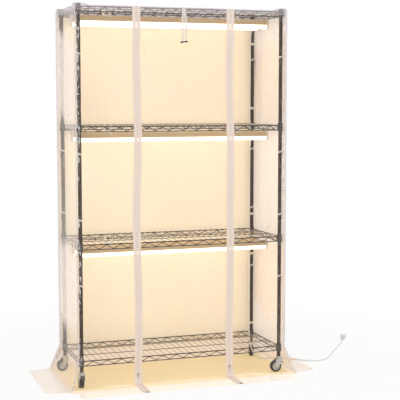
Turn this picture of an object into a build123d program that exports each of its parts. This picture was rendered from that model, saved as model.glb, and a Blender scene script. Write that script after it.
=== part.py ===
from build123d import *
import math
import os

os.makedirs("parts", exist_ok=True)

# Plant stand with grow lights: a wire rack on casters, two lamp bars over each growing level,
# and a clear zip-up film cover whose hem lies on the floor.
# Millimetres, +Z up, origin on the floor under the middle of the rack, front towards -Y.

# Rack
shelf_length = 914.0
shelf_depth = 356.0
corner_inset = 16.0
pole_diameter = 16.0
pole_wall = 1.0
pole_foot = 68.0
pole_overhang = 10.0
shelf_count = 4
first_shelf_height = 113.0
groove_pitch = 25.4
grooves_per_bay = 19
groove_depth = 0.3
groove_width = 2.0

# Shelf wires
rim_wire = 5.0
lower_wire = 4.2
zigzag_wire = 3.2
deck_wire = 3.0
support_wire = 4.0
truss_height = 20.0
truss_end_gap = 8.0
long_truss_wave_count = 14
short_truss_wave_count = 5
deck_wire_count = 31
deck_margin = 36.0
weld_sink = 0.6
wire_sides = 6

# Corner collars and the split sleeves inside them
collar_height = 30.0
collar_rise = 9.0
collar_wall = 1.2
sleeve_top_radius = 9.6
sleeve_foot_radius = 11.0
sleeve_overhang = 1.5
sleeve_split = 1.2
sleeve_play = 0.06
collar_play = 0.1

# Pole caps
cap_rim = 0.8
cap_thickness = 2.0
cap_plug_depth = 14.0
cap_crown = 1.0

# Casters
wheel_radius = 25.0
wheel_trail = 14.0
tyre_width = 18.0
tyre_depth = 7.5
tyre_round = 3.0
rim_width = 15.0
rim_depth = 3.5
web_thickness = 5.0
hub_radius = 6.0
axle_radius = 3.0
axle_play = 0.07
side_play = 0.4
fork_plate = 2.0
fork_top_plate = 2.6
fork_half_length = 14.0
fork_crown = 6.5
fork_eye_radius = 8.0
rivet_head_radius = 4.6
rivet_head_height = 1.3
stem_radius = 4.0
stem_play = 0.08
stem_plug_length = 22.0
stem_plug_play = 0.1
stem_flange_radius = 9.5
stem_flange_height = 3.6
bearing_cup_radius = 12.0
bearing_gap = 0.5
stem_head_radius = 6.5
stem_head_height = 2.4
brake_pin_back = 8.0
brake_pin_height = 45.0
brake_pin_radius = 2.0
brake_pin_play = 0.08
brake_boss_radius = 3.4
brake_ear_radius = 4.6
brake_pedal_reach = 14.0
brake_pedal_thickness = 2.4
brake_pedal_tilt = 20.0
brake_travel = 18.0
brake_cam_offset = 1.0
caster_angles = {"front_left": 90.0, "front_right": 180.0, "rear_left": 195.0, "rear_right": 250.0}
braked_casters = ("front_left", "front_right")

# Lamp bars, two under each of the three upper shelves
lamp_length = 856.0
lamp_row_offset = 54.0
lamp_drop = 27.0
housing_width = 22.0
housing_height = 18.0
housing_chamfer = 3.0
fin_depth = 1.0
fin_height = 1.6
fin_count = 3
diffuser_width = 20.0
diffuser_depth = 20.0
diffuser_wall = 1.2
board_width = 12.0
board_thickness = 1.2
end_cap_length = 10.0
end_cap_wall = 1.0
end_cap_round = 2.0
port_radius = 3.4
port_length = 5.0
port_rise = 10.0
port_drop = 2.0
clip_width = 10.0
clip_thickness = 1.6
clip_play = 0.15
clip_reach = 7.0
clip_deck_gap = 11

# Leads
link_lead_diameter = 4.0
cord_diameter = 6.0
lead_channel_inset = 17.0
lead_clip_height = 10.0
lead_clip_wall = 1.4
upper_clip_heights = (480.0, 665.0, 1010.0, 1150.0, 1440.0)
cord_start_height = 150.0
plug_length = 44.0
plug_width = 28.0
plug_thickness = 20.0
plug_round = 4.0
plug_waist = 16.0
plug_neck_length = 12.0
plug_neck_radius = 5.0
blade_length = 17.0
blade_width = 6.3
blade_thickness = 1.5
blade_spacing = 12.7

# Film cover
film_thickness = 0.5
cover_clearance = 0.8
cover_overhang = 3.0
fold_sagitta = 2.4
fold_width = 58.0
facets_per_fold = 6
flare_height = 110.0
flare_side = 37.0
flare_end = 38.0
bulge_length = 100.0
bulge_ramp = 55.0
flap_side_reach = 106.0
flap_end_reach = 102.0
flap_taper = 24.0
cord_slit_width = 13.0
cord_slit_inner_y = 57.5
cord_slit_outer_y = -4.0

# Zips of the roll-up door, and its ties
zip_offset = 204.0
tape_width = 17.0
tape_thickness = 1.0
chain_gap = 1.9
chain_width = 2.2
chain_thickness = 2.2
chain_floor_rise = 0.6
slider_play = 0.4
slider_height = 12.0
slider_plate = 1.2
slider_half_width = 5.6
slider_post_width = 3.0
slider_post_height = 3.5
slider_rest = 40.0
slider_bridge_rise = 2.3
slider_bridge_length = 5.0
slider_bridge_bar = 1.2
slider_bridge_width = 1.8
pull_width = 6.6
pull_length = 27.0
pull_thickness = 1.2
pull_bar = 1.4
pull_window_length = 5.4
pull_window_width = 2.8
pull_round = 1.6
ribbon_width = 10.0
ribbon_thickness = 0.8
ribbon_length = 146.0
ribbon_lap = 18.0
ribbon_spread = 9.0
ribbon_shift = -2.0
toggle_length = 31.0
toggle_radius = 3.5
tie_band_height = 12.0
tie_band_wall = 0.9
tie_tail_length = 5.0
tie_tail_width = 2.4
tie_heights = (420.0, 690.0, 960.0)

# Worked-out places
pole_x = shelf_length / 2 - corner_inset
pole_y = shelf_depth / 2 - corner_inset
pole_radius = pole_diameter / 2
pole_bore = pole_radius - pole_wall
bay_height = groove_pitch * grooves_per_bay
shelf_heights = [first_shelf_height + bay_height * level for level in range(shelf_count)]
pole_top = shelf_heights[-1] + pole_overhang
cap_top = pole_top + cap_thickness + cap_crown
corners = {
    "front_left": (-pole_x, -pole_y),
    "front_right": (pole_x, -pole_y),
    "rear_left": (-pole_x, pole_y),
    "rear_right": (pole_x, pole_y),
}


def save(builder, label):
    builder.part.label = label
    export_step(builder.part, f"parts/{label}.step")


def placed(master, label, location):
    with BuildPart() as copy:
        with Locations(location):
            add(master.part)
    save(copy, label)


def closed_profile(points):
    Polygon(*points, align=None)


# Poles: plain tubes with a shallow ring groove where each shelf's sleeves grip
sleeve_centres = [height + collar_rise - collar_height / 2 for height in shelf_heights]

with BuildPart() as pole_master:
    with BuildSketch(Plane.XY.offset(pole_foot)):
        Circle(pole_radius)
        Circle(pole_bore, mode=Mode.SUBTRACT)
    extrude(amount=pole_top - pole_foot)
    with BuildSketch(Plane.XZ):
        for centre in sleeve_centres:
            with Locations((pole_radius, centre)):
                Rectangle(2 * groove_depth, groove_width)
    revolve(axis=Axis.Z, mode=Mode.SUBTRACT)

for corner, (x, y) in corners.items():
    placed(pole_master, f"pole_{corner}", Location((x, y, 0)))

# Pole caps: a plug with a rim and a low crown
with BuildPart() as cap_master:
    with BuildSketch(Plane.XZ):
        closed_profile(
            [
                (0, pole_top - cap_plug_depth),
                (pole_bore - stem_plug_play, pole_top - cap_plug_depth),
                (pole_bore - stem_plug_play, pole_top),
                (pole_radius + cap_rim, pole_top),
                (pole_radius + cap_rim, pole_top + cap_thickness),
                (pole_radius - cap_rim, cap_top),
                (0, cap_top),
            ]
        )
    revolve(axis=Axis.Z)

with BuildPart() as pole_caps:
    with Locations(*[Location((x, y, 0)) for x, y in corners.values()]):
        add(cap_master.part)
save(pole_caps, "pole_caps")


# Shelf: welded from wires, with a tapered collar at each corner that the wire ends are coped to;
# its top rim wire is at z = 0
collar_top = collar_rise
collar_foot = collar_rise - collar_height
collar_slope = (sleeve_foot_radius - sleeve_top_radius) / collar_height


def collar_bore(height):
    return sleeve_top_radius + collar_play + (collar_top - height) * collar_slope


def zigzag(length, waves):
    """One bent wire whose bends are pressed flat and welded to the rim wire and the lower wire."""
    step = length / (2 * waves)
    high = -rim_wire / 2
    low = lower_wire / 2 - truss_height
    slope = (high - low) / step
    rise = zigzag_wire / 2 * math.hypot(1, slope)
    flat = rise / slope
    upper, lower = [], []
    for bend in range(2 * waves + 1):
        along = bend * step - length / 2
        if bend % 2 == 1:
            upper += [(along - flat, high), (along + flat, high)]
            lower += [(along, high - rise)]
        else:
            upper += [(along, low + rise)]
            lower += [(along - flat, low), (along + flat, low)]
    closed_profile(upper + list(reversed(lower)))


def long_wires(plane, spans, wire, length):
    """Parallel wires of one gauge, centred on a plane that they cross, with flats above and below."""
    with BuildSketch(plane) as sections:
        with Locations(*spans):
            RegularPolygon(wire / 2, wire_sides, major_radius=False)
    extrude(sections.sketch, amount=length / 2, both=True)


collar_top_wire_face = collar_bore(0) + weld_sink
collar_low_wire_face = collar_bore(-truss_height) + weld_sink
upper_long = 2 * (pole_x - collar_top_wire_face)
upper_short = 2 * (pole_y - collar_top_wire_face)
lower_long = 2 * (pole_x - collar_low_wire_face)
lower_short = 2 * (pole_y - collar_low_wire_face)
zigzag_long = lower_long - 2 * truss_end_gap
zigzag_short = lower_short - 2 * truss_end_gap
deck_pitch = 2 * (pole_x - deck_margin) / (deck_wire_count - 1)
deck_level = (rim_wire + deck_wire) / 2
support_level = deck_level - (deck_wire + support_wire) / 2

with BuildPart() as collar_master:
    with BuildSketch(Plane.XZ):
        closed_profile(
            [
                (collar_bore(collar_foot), collar_foot),
                (collar_bore(collar_foot) + collar_wall, collar_foot),
                (collar_bore(collar_top) + collar_wall, collar_top),
                (collar_bore(collar_top), collar_top),
            ]
        )
    revolve(axis=Axis.Z)

with BuildPart() as collar_core:
    with BuildSketch(Plane.XZ):
        closed_profile(
            [
                (0, collar_foot),
                (collar_bore(collar_foot) + collar_wall, collar_foot),
                (collar_bore(collar_top) + collar_wall, collar_top),
                (0, collar_top),
            ]
        )
    revolve(axis=Axis.Z)

with BuildPart() as shelf_master:
    long_wires(Plane.YZ, [(pole_y, 0), (-pole_y, 0)], rim_wire, upper_long)
    long_wires(Plane.YZ, [(pole_y, -truss_height), (-pole_y, -truss_height)], lower_wire, lower_long)
    long_wires(Plane.XZ, [(pole_x, 0), (-pole_x, 0)], rim_wire, upper_short)
    long_wires(Plane.XZ, [(pole_x, -truss_height), (-pole_x, -truss_height)], lower_wire, lower_short)
    for side in (-pole_y, pole_y):
        with BuildSketch(Plane.XZ.offset(side)):
            zigzag(zigzag_long, long_truss_wave_count)
        extrude(amount=zigzag_wire / 2, both=True)
    for side in (-pole_x, pole_x):
        with BuildSketch(Plane.YZ.offset(side)):
            zigzag(zigzag_short, short_truss_wave_count)
        extrude(amount=zigzag_wire / 2, both=True)
    long_wires(
        Plane.YZ,
        [(lamp_row_offset, support_level), (-lamp_row_offset, support_level)],
        support_wire,
        2 * pole_x,
    )
    deck_places = [
        (deck_pitch * (wire - (deck_wire_count - 1) / 2), deck_level) for wire in range(deck_wire_count)
    ]
    long_wires(Plane.XZ, deck_places, deck_wire, 2 * pole_y + rim_wire)
    with Locations(*[Location((x, y, 0)) for x, y in corners.values()]):
        add(collar_core.part, mode=Mode.SUBTRACT)

for level, height in enumerate(shelf_heights, start=1):
    placed(shelf_master, f"shelf_{level}", Location((0, 0, height)))

with BuildPart() as shelf_collars:
    with Locations(*[(x, y, height) for height in shelf_heights for x, y in corners.values()]):
        add(collar_master.part)
save(shelf_collars, "shelf_collars")

# Sleeves: two tapered half shells in each collar, with a rib that sits in the pole's ring groove
half_turn = 180.0
sleeve_bore = pole_radius + sleeve_play
rib_bore = pole_radius - groove_depth + sleeve_play
split_turn = math.degrees(sleeve_split / pole_radius)
rib_middle = collar_rise - collar_height / 2
rib_half = groove_width / 2 - sleeve_play

with BuildPart() as sleeve_master:
    for face in range(2):
        start_turn = math.radians(face * half_turn + split_turn / 2)
        radial = Vector(math.cos(start_turn), math.sin(start_turn))
        across = Vector(math.sin(start_turn), -math.cos(start_turn))
        with BuildSketch(Plane(origin=(0, 0, 0), x_dir=radial, z_dir=across)):
            closed_profile(
                [
                    (sleeve_bore, collar_foot - sleeve_overhang),
                    (sleeve_foot_radius, collar_foot - sleeve_overhang),
                    (sleeve_foot_radius, collar_foot),
                    (sleeve_top_radius, collar_top),
                    (sleeve_top_radius, collar_top + sleeve_overhang / 2),
                    (sleeve_bore, collar_top + sleeve_overhang / 2),
                    (sleeve_bore, rib_middle + rib_half),
                    (rib_bore, rib_middle + rib_half),
                    (rib_bore, rib_middle - rib_half),
                    (sleeve_bore, rib_middle - rib_half),
                ]
            )
        revolve(axis=Axis.Z, revolution_arc=half_turn - split_turn)

with BuildPart() as shelf_sleeves:
    sleeve_places = [Location((x, y, z)) for z in shelf_heights for x, y in corners.values()]
    with Locations(*sleeve_places):
        add(sleeve_master.part)
save(shelf_sleeves, "shelf_sleeves")

# Casters: built with the stem on the Z axis and the wheel trailing along +X
fork_width = tyre_width + 2 * (side_play + fork_plate)
fork_inner = tyre_width + 2 * side_play
fork_top = 2 * wheel_radius + fork_crown + fork_top_plate
stem_head_top = fork_top - fork_top_plate - bearing_gap
wheel_plane = Plane.XZ

with BuildPart() as fork_master:
    with BuildSketch(wheel_plane):
        with BuildLine():
            CenterArc((wheel_trail, wheel_radius), fork_eye_radius, 0, 360)
            CenterArc((-brake_pin_back, brake_pin_height), brake_ear_radius, 0, 360)
            Line((-fork_half_length, fork_top), (fork_half_length, fork_top))
        make_hull()
    extrude(amount=fork_width / 2, both=True)
    top_edges = fork_master.edges().filter_by(Axis.X).group_by(Axis.Z)[-1]
    fillet(top_edges, radius=fork_plate - side_play)
    fork_room_height = fork_top - fork_top_plate
    with BuildSketch(Plane.XY):
        Rectangle(4 * fork_top, fork_inner)
    extrude(amount=fork_room_height, mode=Mode.SUBTRACT)
    with BuildSketch(Plane.XY.offset(fork_room_height)):
        Circle(stem_radius + stem_play)
    extrude(amount=2 * fork_top_plate, mode=Mode.SUBTRACT)
    with BuildSketch(wheel_plane):
        with Locations((-brake_pin_back, brake_pin_height)):
            Circle(brake_pin_radius + brake_pin_play)
    extrude(amount=fork_width, both=True, mode=Mode.SUBTRACT)
    with BuildSketch(wheel_plane):
        with Locations((wheel_trail, wheel_radius)):
            Circle(axle_radius)
    extrude(amount=fork_width / 2, both=True)
    for face in (-1, 1):
        with BuildSketch(wheel_plane.offset(face * fork_width / 2)):
            with Locations((wheel_trail, wheel_radius)):
                Circle(rivet_head_radius)
        extrude(amount=face * rivet_head_height)

with BuildPart() as stem_master:
    with BuildSketch(Plane.XZ):
        closed_profile(
            [
                (0, stem_head_top - stem_head_height),
                (stem_head_radius, stem_head_top - stem_head_height),
                (stem_head_radius, stem_head_top),
                (stem_radius, stem_head_top),
                (stem_radius, fork_top + bearing_gap),
                (bearing_cup_radius, fork_top + bearing_gap),
                (bearing_cup_radius, pole_foot - stem_flange_height),
                (stem_flange_radius, pole_foot - stem_flange_height),
                (stem_flange_radius, pole_foot),
                (pole_bore - stem_plug_play, pole_foot),
                (pole_bore - stem_plug_play, pole_foot + stem_plug_length),
                (0, pole_foot + stem_plug_length),
            ]
        )
    revolve(axis=Axis.Z)

tyre_bore = wheel_radius - tyre_depth
wheel_axis_plane = Plane(origin=(wheel_trail, 0, wheel_radius), x_dir=(1, 0, 0), z_dir=(0, 0, 1))
wheel_axis = Axis((wheel_trail, 0, wheel_radius), (0, 1, 0))
rim_radius = tyre_bore - sleeve_play
rim_bore = rim_radius - rim_depth

with BuildPart() as wheel_master:
    with BuildSketch(wheel_axis_plane):
        closed_profile(
            [
                (axle_radius + axle_play, -tyre_width / 2),
                (hub_radius, -tyre_width / 2),
                (hub_radius, -web_thickness / 2),
                (rim_bore, -web_thickness / 2),
                (rim_bore, -rim_width / 2),
                (rim_radius, -rim_width / 2),
                (rim_radius, rim_width / 2),
                (rim_bore, rim_width / 2),
                (rim_bore, web_thickness / 2),
                (hub_radius, web_thickness / 2),
                (hub_radius, tyre_width / 2),
                (axle_radius + axle_play, tyre_width / 2),
            ]
        )
    revolve(axis=wheel_axis)

with BuildPart() as tyre_master:
    with BuildSketch(wheel_axis_plane):
        with Locations((tyre_bore + tyre_depth / 2, 0)):
            Rectangle(tyre_depth, tyre_width)
        fillet(vertices().group_by(Axis.X)[-1], radius=tyre_round)
    revolve(axis=wheel_axis)

# The brake's cam swings square onto the tread when the pedal is pressed through its travel
cam_drop = brake_pin_height - wheel_radius
cam_locked_turn = math.degrees(math.atan2(-cam_drop, wheel_trail + brake_pin_back))
cam_turn = math.radians(cam_locked_turn - brake_travel)

with BuildPart() as brake_master:
    with BuildSketch(wheel_plane):
        with Locations((-brake_pin_back, brake_pin_height)):
            Circle(brake_boss_radius)
            with Locations((brake_cam_offset * math.cos(cam_turn), brake_cam_offset * math.sin(cam_turn))):
                Circle(brake_boss_radius)
            with Locations(Location((0, 0, 0), (0, 0, brake_pedal_tilt))):
                with Locations((-brake_pedal_reach / 2, 0)):
                    SlotOverall(brake_pedal_reach + brake_pedal_thickness, brake_pedal_thickness)
    extrude(amount=tyre_width / 2, both=True)
    with BuildSketch(wheel_plane):
        with Locations((-brake_pin_back, brake_pin_height)):
            Circle(brake_pin_radius)
    extrude(amount=fork_width / 2, both=True)

for corner, (x, y) in corners.items():
    turned = Location((x, y, 0), (0, 0, caster_angles[corner]))
    placed(stem_master, f"caster_stem_{corner}", Location((x, y, 0)))
    placed(fork_master, f"caster_fork_{corner}", turned)
    placed(wheel_master, f"caster_wheel_{corner}", turned)
    placed(tyre_master, f"caster_tyre_{corner}", turned)
    if corner in braked_casters:
        placed(brake_master, f"caster_brake_{corner}", turned)

# Lamp bars: an extruded housing, a frosted U-shaped diffuser, the light board and two end caps.
# Z = 0 is the seam between housing and diffuser; the profiles are drawn across the bar.
housing_length = lamp_length - 2 * end_cap_length
lamp_levels = [height - lamp_drop - housing_height for height in shelf_heights[1:]]
lamp_rows = (-lamp_row_offset, lamp_row_offset)


def diffuser_outline(half_width, depth):
    with BuildLine() as outline:
        Line((-half_width, 0), (-half_width, half_width - depth))
        ThreePointArc((-half_width, half_width - depth), (0, -depth), (half_width, half_width - depth))
        Line((half_width, half_width - depth), (half_width, 0))
        Line((half_width, 0), (-half_width, 0))
    make_face(outline.edges())


def housing_outline(half_width, height, bevel):
    closed_profile(
        [
            (-half_width, 0),
            (half_width, 0),
            (half_width, height - bevel),
            (half_width - bevel, height),
            (bevel - half_width, height),
            (-half_width, height - bevel),
        ]
    )


fin_pitch = (housing_height - housing_chamfer) / (fin_count + 1)

with BuildPart() as housing_master:
    with BuildSketch(Plane.YZ):
        housing_outline(housing_width / 2, housing_height, housing_chamfer)
        fin_places = [
            (side * housing_width / 2, fin_pitch * (groove + 1))
            for side in (-1, 1)
            for groove in range(fin_count)
        ]
        with Locations(*fin_places):
            Rectangle(2 * fin_depth, fin_height, mode=Mode.SUBTRACT)
    extrude(amount=housing_length / 2, both=True)

with BuildPart() as diffuser_master:
    with BuildSketch(Plane.YZ):
        diffuser_outline(diffuser_width / 2, diffuser_depth)
        with BuildSketch(mode=Mode.SUBTRACT):
            diffuser_outline(diffuser_width / 2 - diffuser_wall, diffuser_depth - diffuser_wall)
    extrude(amount=housing_length / 2, both=True)

with BuildPart() as board_master:
    with BuildSketch(Plane.YZ):
        with Locations((0, -board_thickness / 2)):
            Rectangle(board_width, board_thickness)
    extrude(amount=housing_length / 2, both=True)


def end_cap(side, ports):
    """One end cap, with lead ports on the given (direction, height) pairs."""
    with BuildPart() as cap:
        with BuildSketch(Plane.YZ.offset(side * housing_length / 2)):
            housing_outline(housing_width / 2 + end_cap_wall, housing_height + end_cap_wall, housing_chamfer)
            diffuser_outline(diffuser_width / 2 + end_cap_wall, diffuser_depth + end_cap_wall)
        extrude(amount=side * end_cap_length)
        outer_edges = cap.faces().sort_by(Axis.X)[-1 if side > 0 else 0].edges()
        chamfer(outer_edges, length=end_cap_round / 2)
        for direction, height in ports:
            face_distance = housing_width / 2 + end_cap_wall
            with BuildSketch(Plane.XZ.offset(-direction * face_distance)):
                with Locations((side * (housing_length + end_cap_length) / 2, height)):
                    Circle(port_radius)
            extrude(amount=-direction * port_length)
    return cap


plain_cap = end_cap(-1, [])
front_cap = end_cap(1, [(1, housing_height / 2)])
rear_cap = end_cap(1, [(-1, housing_height / 2), (1, port_rise), (1, -port_drop)])

for level, height in enumerate(lamp_levels, start=2):
    row_places = [Location((0, row, height)) for row in lamp_rows]
    with BuildPart() as housings:
        with Locations(*row_places):
            add(housing_master.part)
    save(housings, f"lamp_housings_{level}")
    with BuildPart() as diffusers:
        with Locations(*row_places):
            add(diffuser_master.part)
    save(diffusers, f"lamp_diffusers_{level}")

lamp_places = [Location((0, row, height)) for height in lamp_levels for row in lamp_rows]
with BuildPart() as lamp_boards:
    with Locations(*lamp_places):
        add(board_master.part)
save(lamp_boards, "lamp_boards")

with BuildPart() as lamp_end_caps:
    with Locations(*lamp_places):
        add(plain_cap.part)
    for height in lamp_levels:
        with Locations(Location((0, -lamp_row_offset, height))):
            add(front_cap.part)
        with Locations(Location((0, lamp_row_offset, height))):
            add(rear_cap.part)
save(lamp_end_caps, "lamp_end_caps")

# Lamp clips: a snap ring round the shelf's support wire above, a web, and a saddle on the housing
clip_wire_height = support_level + lamp_drop + housing_height
wire_corner_share = 1 / math.cos(math.pi / wire_sides)
clip_ring_bore = support_wire / 2 * wire_corner_share + clip_play
clip_saddle_half = housing_width / 2 + clip_thickness
clip_saddle_top = housing_height + clip_thickness

with BuildPart() as clip_master:
    with BuildSketch(Plane.YZ):
        with Locations((0, clip_wire_height)):
            Circle(clip_ring_bore + clip_thickness)
        with Locations((0, (clip_saddle_top + clip_wire_height) / 2)):
            Rectangle(2 * clip_thickness, clip_wire_height - clip_saddle_top)
        with Locations((0, clip_wire_height)):
            Circle(clip_ring_bore, mode=Mode.SUBTRACT)
        housing_outline(clip_saddle_half, clip_saddle_top, housing_chamfer)
        with BuildSketch(mode=Mode.SUBTRACT):
            housing_outline(housing_width / 2, housing_height, housing_chamfer)
        with Locations((0, (housing_height - clip_reach) / 2)):
            Rectangle(3 * housing_width, housing_height - clip_reach, mode=Mode.SUBTRACT)
    extrude(amount=clip_width / 2, both=True)

clip_x = deck_pitch * (clip_deck_gap - 1 / 2)
with BuildPart() as lamp_clips:
    clip_places = [
        Location((x, row, height)) for height in lamp_levels for row in lamp_rows for x in (-clip_x, clip_x)
    ]
    with Locations(*clip_places):
        add(clip_master.part)

# Held leads: bar to bar across each level, and level to level down the rear right pole
lead_x = pole_x - lead_channel_inset
lead_y = pole_y - lead_channel_inset
port_x = (housing_length + end_cap_length) / 2
port_face = housing_width / 2 + end_cap_wall + port_length
arc_share = 0.45


def arc_radii(points):
    """Bend radii for a route: a share of the shorter run over the tangent of half the turn."""
    radii = []
    for before, here, after in zip(points, points[1:], points[2:]):
        run_in = Vector(*here) - Vector(*before)
        run_out = Vector(*after) - Vector(*here)
        turn = math.radians(run_in.get_angle(run_out))
        shorter = min(run_in.length, run_out.length)
        radii.append(arc_share * shorter / math.tan(turn / 2))
    return radii


def lead(points, diameter):
    """A round lead along straight runs joined by tangent arcs; returns its length and radii."""
    radii = arc_radii(points)
    with BuildLine() as route:
        FilletPolyline(*points, radius=radii)
    start = Vector(*points[0])
    with BuildSketch(Plane(origin=start, z_dir=Vector(*points[1]) - start)) as section:
        Circle(diameter / 2)
    path = route.wires()[0]
    sweep(section.sketch, path=path)
    return path.length, radii


lead_sag = 3 * link_lead_diameter
link_span_shares = (-1, -0.75, -0.45, 0, 0.4, 0.75, 1)
link_sag_shares = (0, 0, 0.7, 1, 0.75, 0, 0)
lead_wander = link_lead_diameter / 4
lead_bend = 8 * link_lead_diameter
link_lengths = []

with BuildPart() as lamp_leads:
    for height in lamp_levels:
        level_port = height + housing_height / 2
        inner_end = lamp_row_offset - port_face
        links = [
            (port_x, inner_end * span, level_port - lead_sag * sag)
            for span, sag in zip(link_span_shares, link_sag_shares)
        ]
        link_lengths.append(lead(links, link_lead_diameter)[0])
    outer_end = lamp_row_offset + port_face
    for upper, lower, shelf_height in zip(lamp_levels[1:], lamp_levels, shelf_heights[1:]):
        drop = [
            (port_x, outer_end, upper - port_drop),
            (port_x, outer_end + lead_bend / 2, upper - port_drop),
            (lead_x, lead_y - lead_bend / 3, upper - port_drop - lead_bend / 2),
            (lead_x, lead_y, upper - port_drop - 2 * lead_bend),
            (lead_x, lead_y + lead_wander, shelf_height + lead_bend),
            (lead_x, lead_y, shelf_height - truss_height - link_lead_diameter),
            (port_x, outer_end + lead_bend, lower + port_rise + link_lead_diameter),
            (port_x, outer_end + lead_bend / 3, lower + port_rise),
            (port_x, outer_end, lower + port_rise),
        ]
        link_lengths.append(lead(drop, link_lead_diameter)[0])
    supply = [
        (port_x, outer_end, lamp_levels[0] - port_drop),
        (port_x, outer_end + lead_bend / 2, lamp_levels[0] - port_drop),
        (lead_x, lead_y - lead_bend / 3, lamp_levels[0] - port_drop - lead_bend / 2),
        (lead_x, lead_y, lamp_levels[0] - port_drop - 2 * lead_bend),
        (lead_x, lead_y + lead_wander, (lamp_levels[0] + cord_start_height) / 2),
        (lead_x, lead_y, cord_start_height + lead_bend),
        (lead_x, lead_y, cord_start_height),
    ]
    link_lengths.append(lead(supply, cord_diameter)[0])
save(lamp_leads, "lamp_leads")
print("held leads, mm:", [round(length) for length in link_lengths])

# Power cord: falls from the last clip, crosses the floor under the hem and runs out to its plug.
# Its points are chosen by hand.
floor_line = cord_diameter / 2
cord_route = [
    (lead_x, lead_y, cord_start_height),
    (lead_x, lead_y, 106.0),
    (424.4, 138.0, 72.0),
    (425.5, 122.0, 43.0),
    (430.0, 103.0, 19.0),
    (443.0, 85.0, 4.0),
    (470.0, 70.0, floor_line),
    (508.0, 50.0, floor_line),
    (552.0, 25.2, floor_line),
    (597.0, -2.0, floor_line),
    (639.0, -41.0, floor_line),
    (686.0, -61.0, floor_line),
    (733.0, -41.0, floor_line),
    (774.0, 7.0, floor_line),
    (818.0, 72.0, floor_line),
    (872.0, 140.0, floor_line),
    (921.0, 206.0, floor_line),
    (962.0, 262.0, floor_line),
    (984.0, 298.0, floor_line),
]
with BuildPart() as power_cord:
    cord_length, cord_radii = lead(cord_route, cord_diameter)
save(power_cord, "power_cord")
tube_volume = math.pi * floor_line**2 * cord_length
print("power cord length", round(cord_length))
print("power cord volume share", round(power_cord.part.volume / tube_volume, 4))
print("power cord bend radii", [round(radius) for radius in cord_radii])

# Plug: a moulded body with a tapered neck, lying flat at the cord's end
cord_end = Vector(*cord_route[-1])
cord_heading = (cord_end - Vector(*cord_route[-2])).normalized()
plug_floor = Plane(origin=(cord_end.X, cord_end.Y, 0), x_dir=cord_heading, z_dir=(0, 0, 1))

with BuildPart() as plug_body:
    body_start = plug_neck_length
    with BuildSketch(plug_floor):
        with BuildLine():
            Polyline(
                (body_start, -plug_waist / 2),
                (body_start + plug_length / 2, -plug_width / 2),
                (body_start + plug_length, -plug_width / 2),
                (body_start + plug_length, plug_width / 2),
                (body_start + plug_length / 2, plug_width / 2),
                (body_start, plug_waist / 2),
                close=True,
            )
        make_face()
    extrude(amount=plug_thickness)
    fillet(plug_body.edges().group_by(Axis.Z)[-1], radius=plug_round)
    fillet(plug_body.edges().group_by(Axis.Z)[0], radius=plug_round)
    neck_end = cord_end + cord_heading * (plug_neck_length + plug_round)
    neck_end.Z = plug_neck_radius
    with BuildSketch(Plane(origin=cord_end, z_dir=cord_heading)):
        Circle(floor_line)
    with BuildSketch(Plane(origin=neck_end, z_dir=cord_heading)):
        Circle(plug_neck_radius)
    loft(ruled=True)
save(plug_body, "plug_body")

with BuildPart() as plug_blades:
    blade_face = plug_floor.offset(plug_thickness / 2)
    with BuildSketch(blade_face):
        for side in (-1, 1):
            with Locations((body_start + plug_length + blade_length / 2, side * blade_spacing / 2)):
                Rectangle(blade_length, blade_thickness)
    extrude(amount=blade_width / 2, both=True)
save(plug_blades, "plug_blades")

# Lead clips: a ring on the rear right pole joined to a ring round the lead. They share the lamp clips' node.
diagonal = 45.0
lead_clip_heights = [cord_start_height + lead_clip_height / 2, *upper_clip_heights]
with BuildPart() as all_clips:
    add(lamp_clips.part)
    for height in lead_clip_heights:
        lead_radius = cord_diameter / 2 if height < lamp_levels[0] else link_lead_diameter / 2
        with BuildSketch(Plane.XY.offset(height - lead_clip_height / 2)):
            with Locations((pole_x, pole_y)):
                Circle(pole_radius + sleeve_play + lead_clip_wall)
            with Locations((lead_x, lead_y)):
                Circle(lead_radius + 2 * clip_play + lead_wander + lead_clip_wall)
            with Locations(Location(((pole_x + lead_x) / 2, (pole_y + lead_y) / 2, 0), (0, 0, diagonal))):
                Rectangle(lead_channel_inset, 2 * lead_clip_wall)
            with Locations((pole_x, pole_y)):
                Circle(pole_radius + sleeve_play, mode=Mode.SUBTRACT)
            with Locations((lead_x, lead_y)):
                Circle(lead_radius + 2 * clip_play + lead_wander, mode=Mode.SUBTRACT)
        extrude(amount=lead_clip_height)
save(all_clips, "lamp_clips")

# Film cover
cover_standoff = collar_bore(collar_foot) + collar_wall + cover_clearance + fold_sagitta + film_thickness
cover_x = pole_x + cover_standoff
cover_y = pole_y + cover_standoff
fold_x = cover_x + flare_side
fold_y = cover_y + flare_end
door_half = zip_offset - tape_width
fixed_edge = zip_offset + tape_width
cover_top = cap_top


def fold_points(start, end):
    """Points along shallow curtain folds from start to end, in a wave whose ends both bow outwards."""
    along = (end - start).normalized()
    across = Vector(-along.Y, along.X)
    fold_count = 2 * round((end - start).length / fold_width / 2) + 1
    steps = fold_count * facets_per_fold
    points = []
    for step in range(steps + 1):
        swing = math.sin(math.pi * step / facets_per_fold)
        points.append(start + (end - start) * (step / steps) - across * (fold_sagitta * swing))
    return points


def folded_panel(start, end, bottom, top):
    """A hanging film panel: its outer face runs from start to end, anticlockwise seen from above."""
    start, end = Vector(*start), Vector(*end)
    across = Vector(-(end - start).normalized().Y, (end - start).normalized().X)
    outer = fold_points(start, end)
    inner = [point + across * film_thickness for point in reversed(outer)]
    with BuildSketch(Plane.XY.offset(bottom)) as section:
        closed_profile([(point.X, point.Y) for point in outer + inner])
    extrude(section.sketch, amount=top - bottom)


def film_slab(points):
    """Film lying flat on the floor."""
    with BuildSketch() as outline:
        closed_profile(points)
    extrude(outline.sketch, amount=film_thickness)


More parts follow.
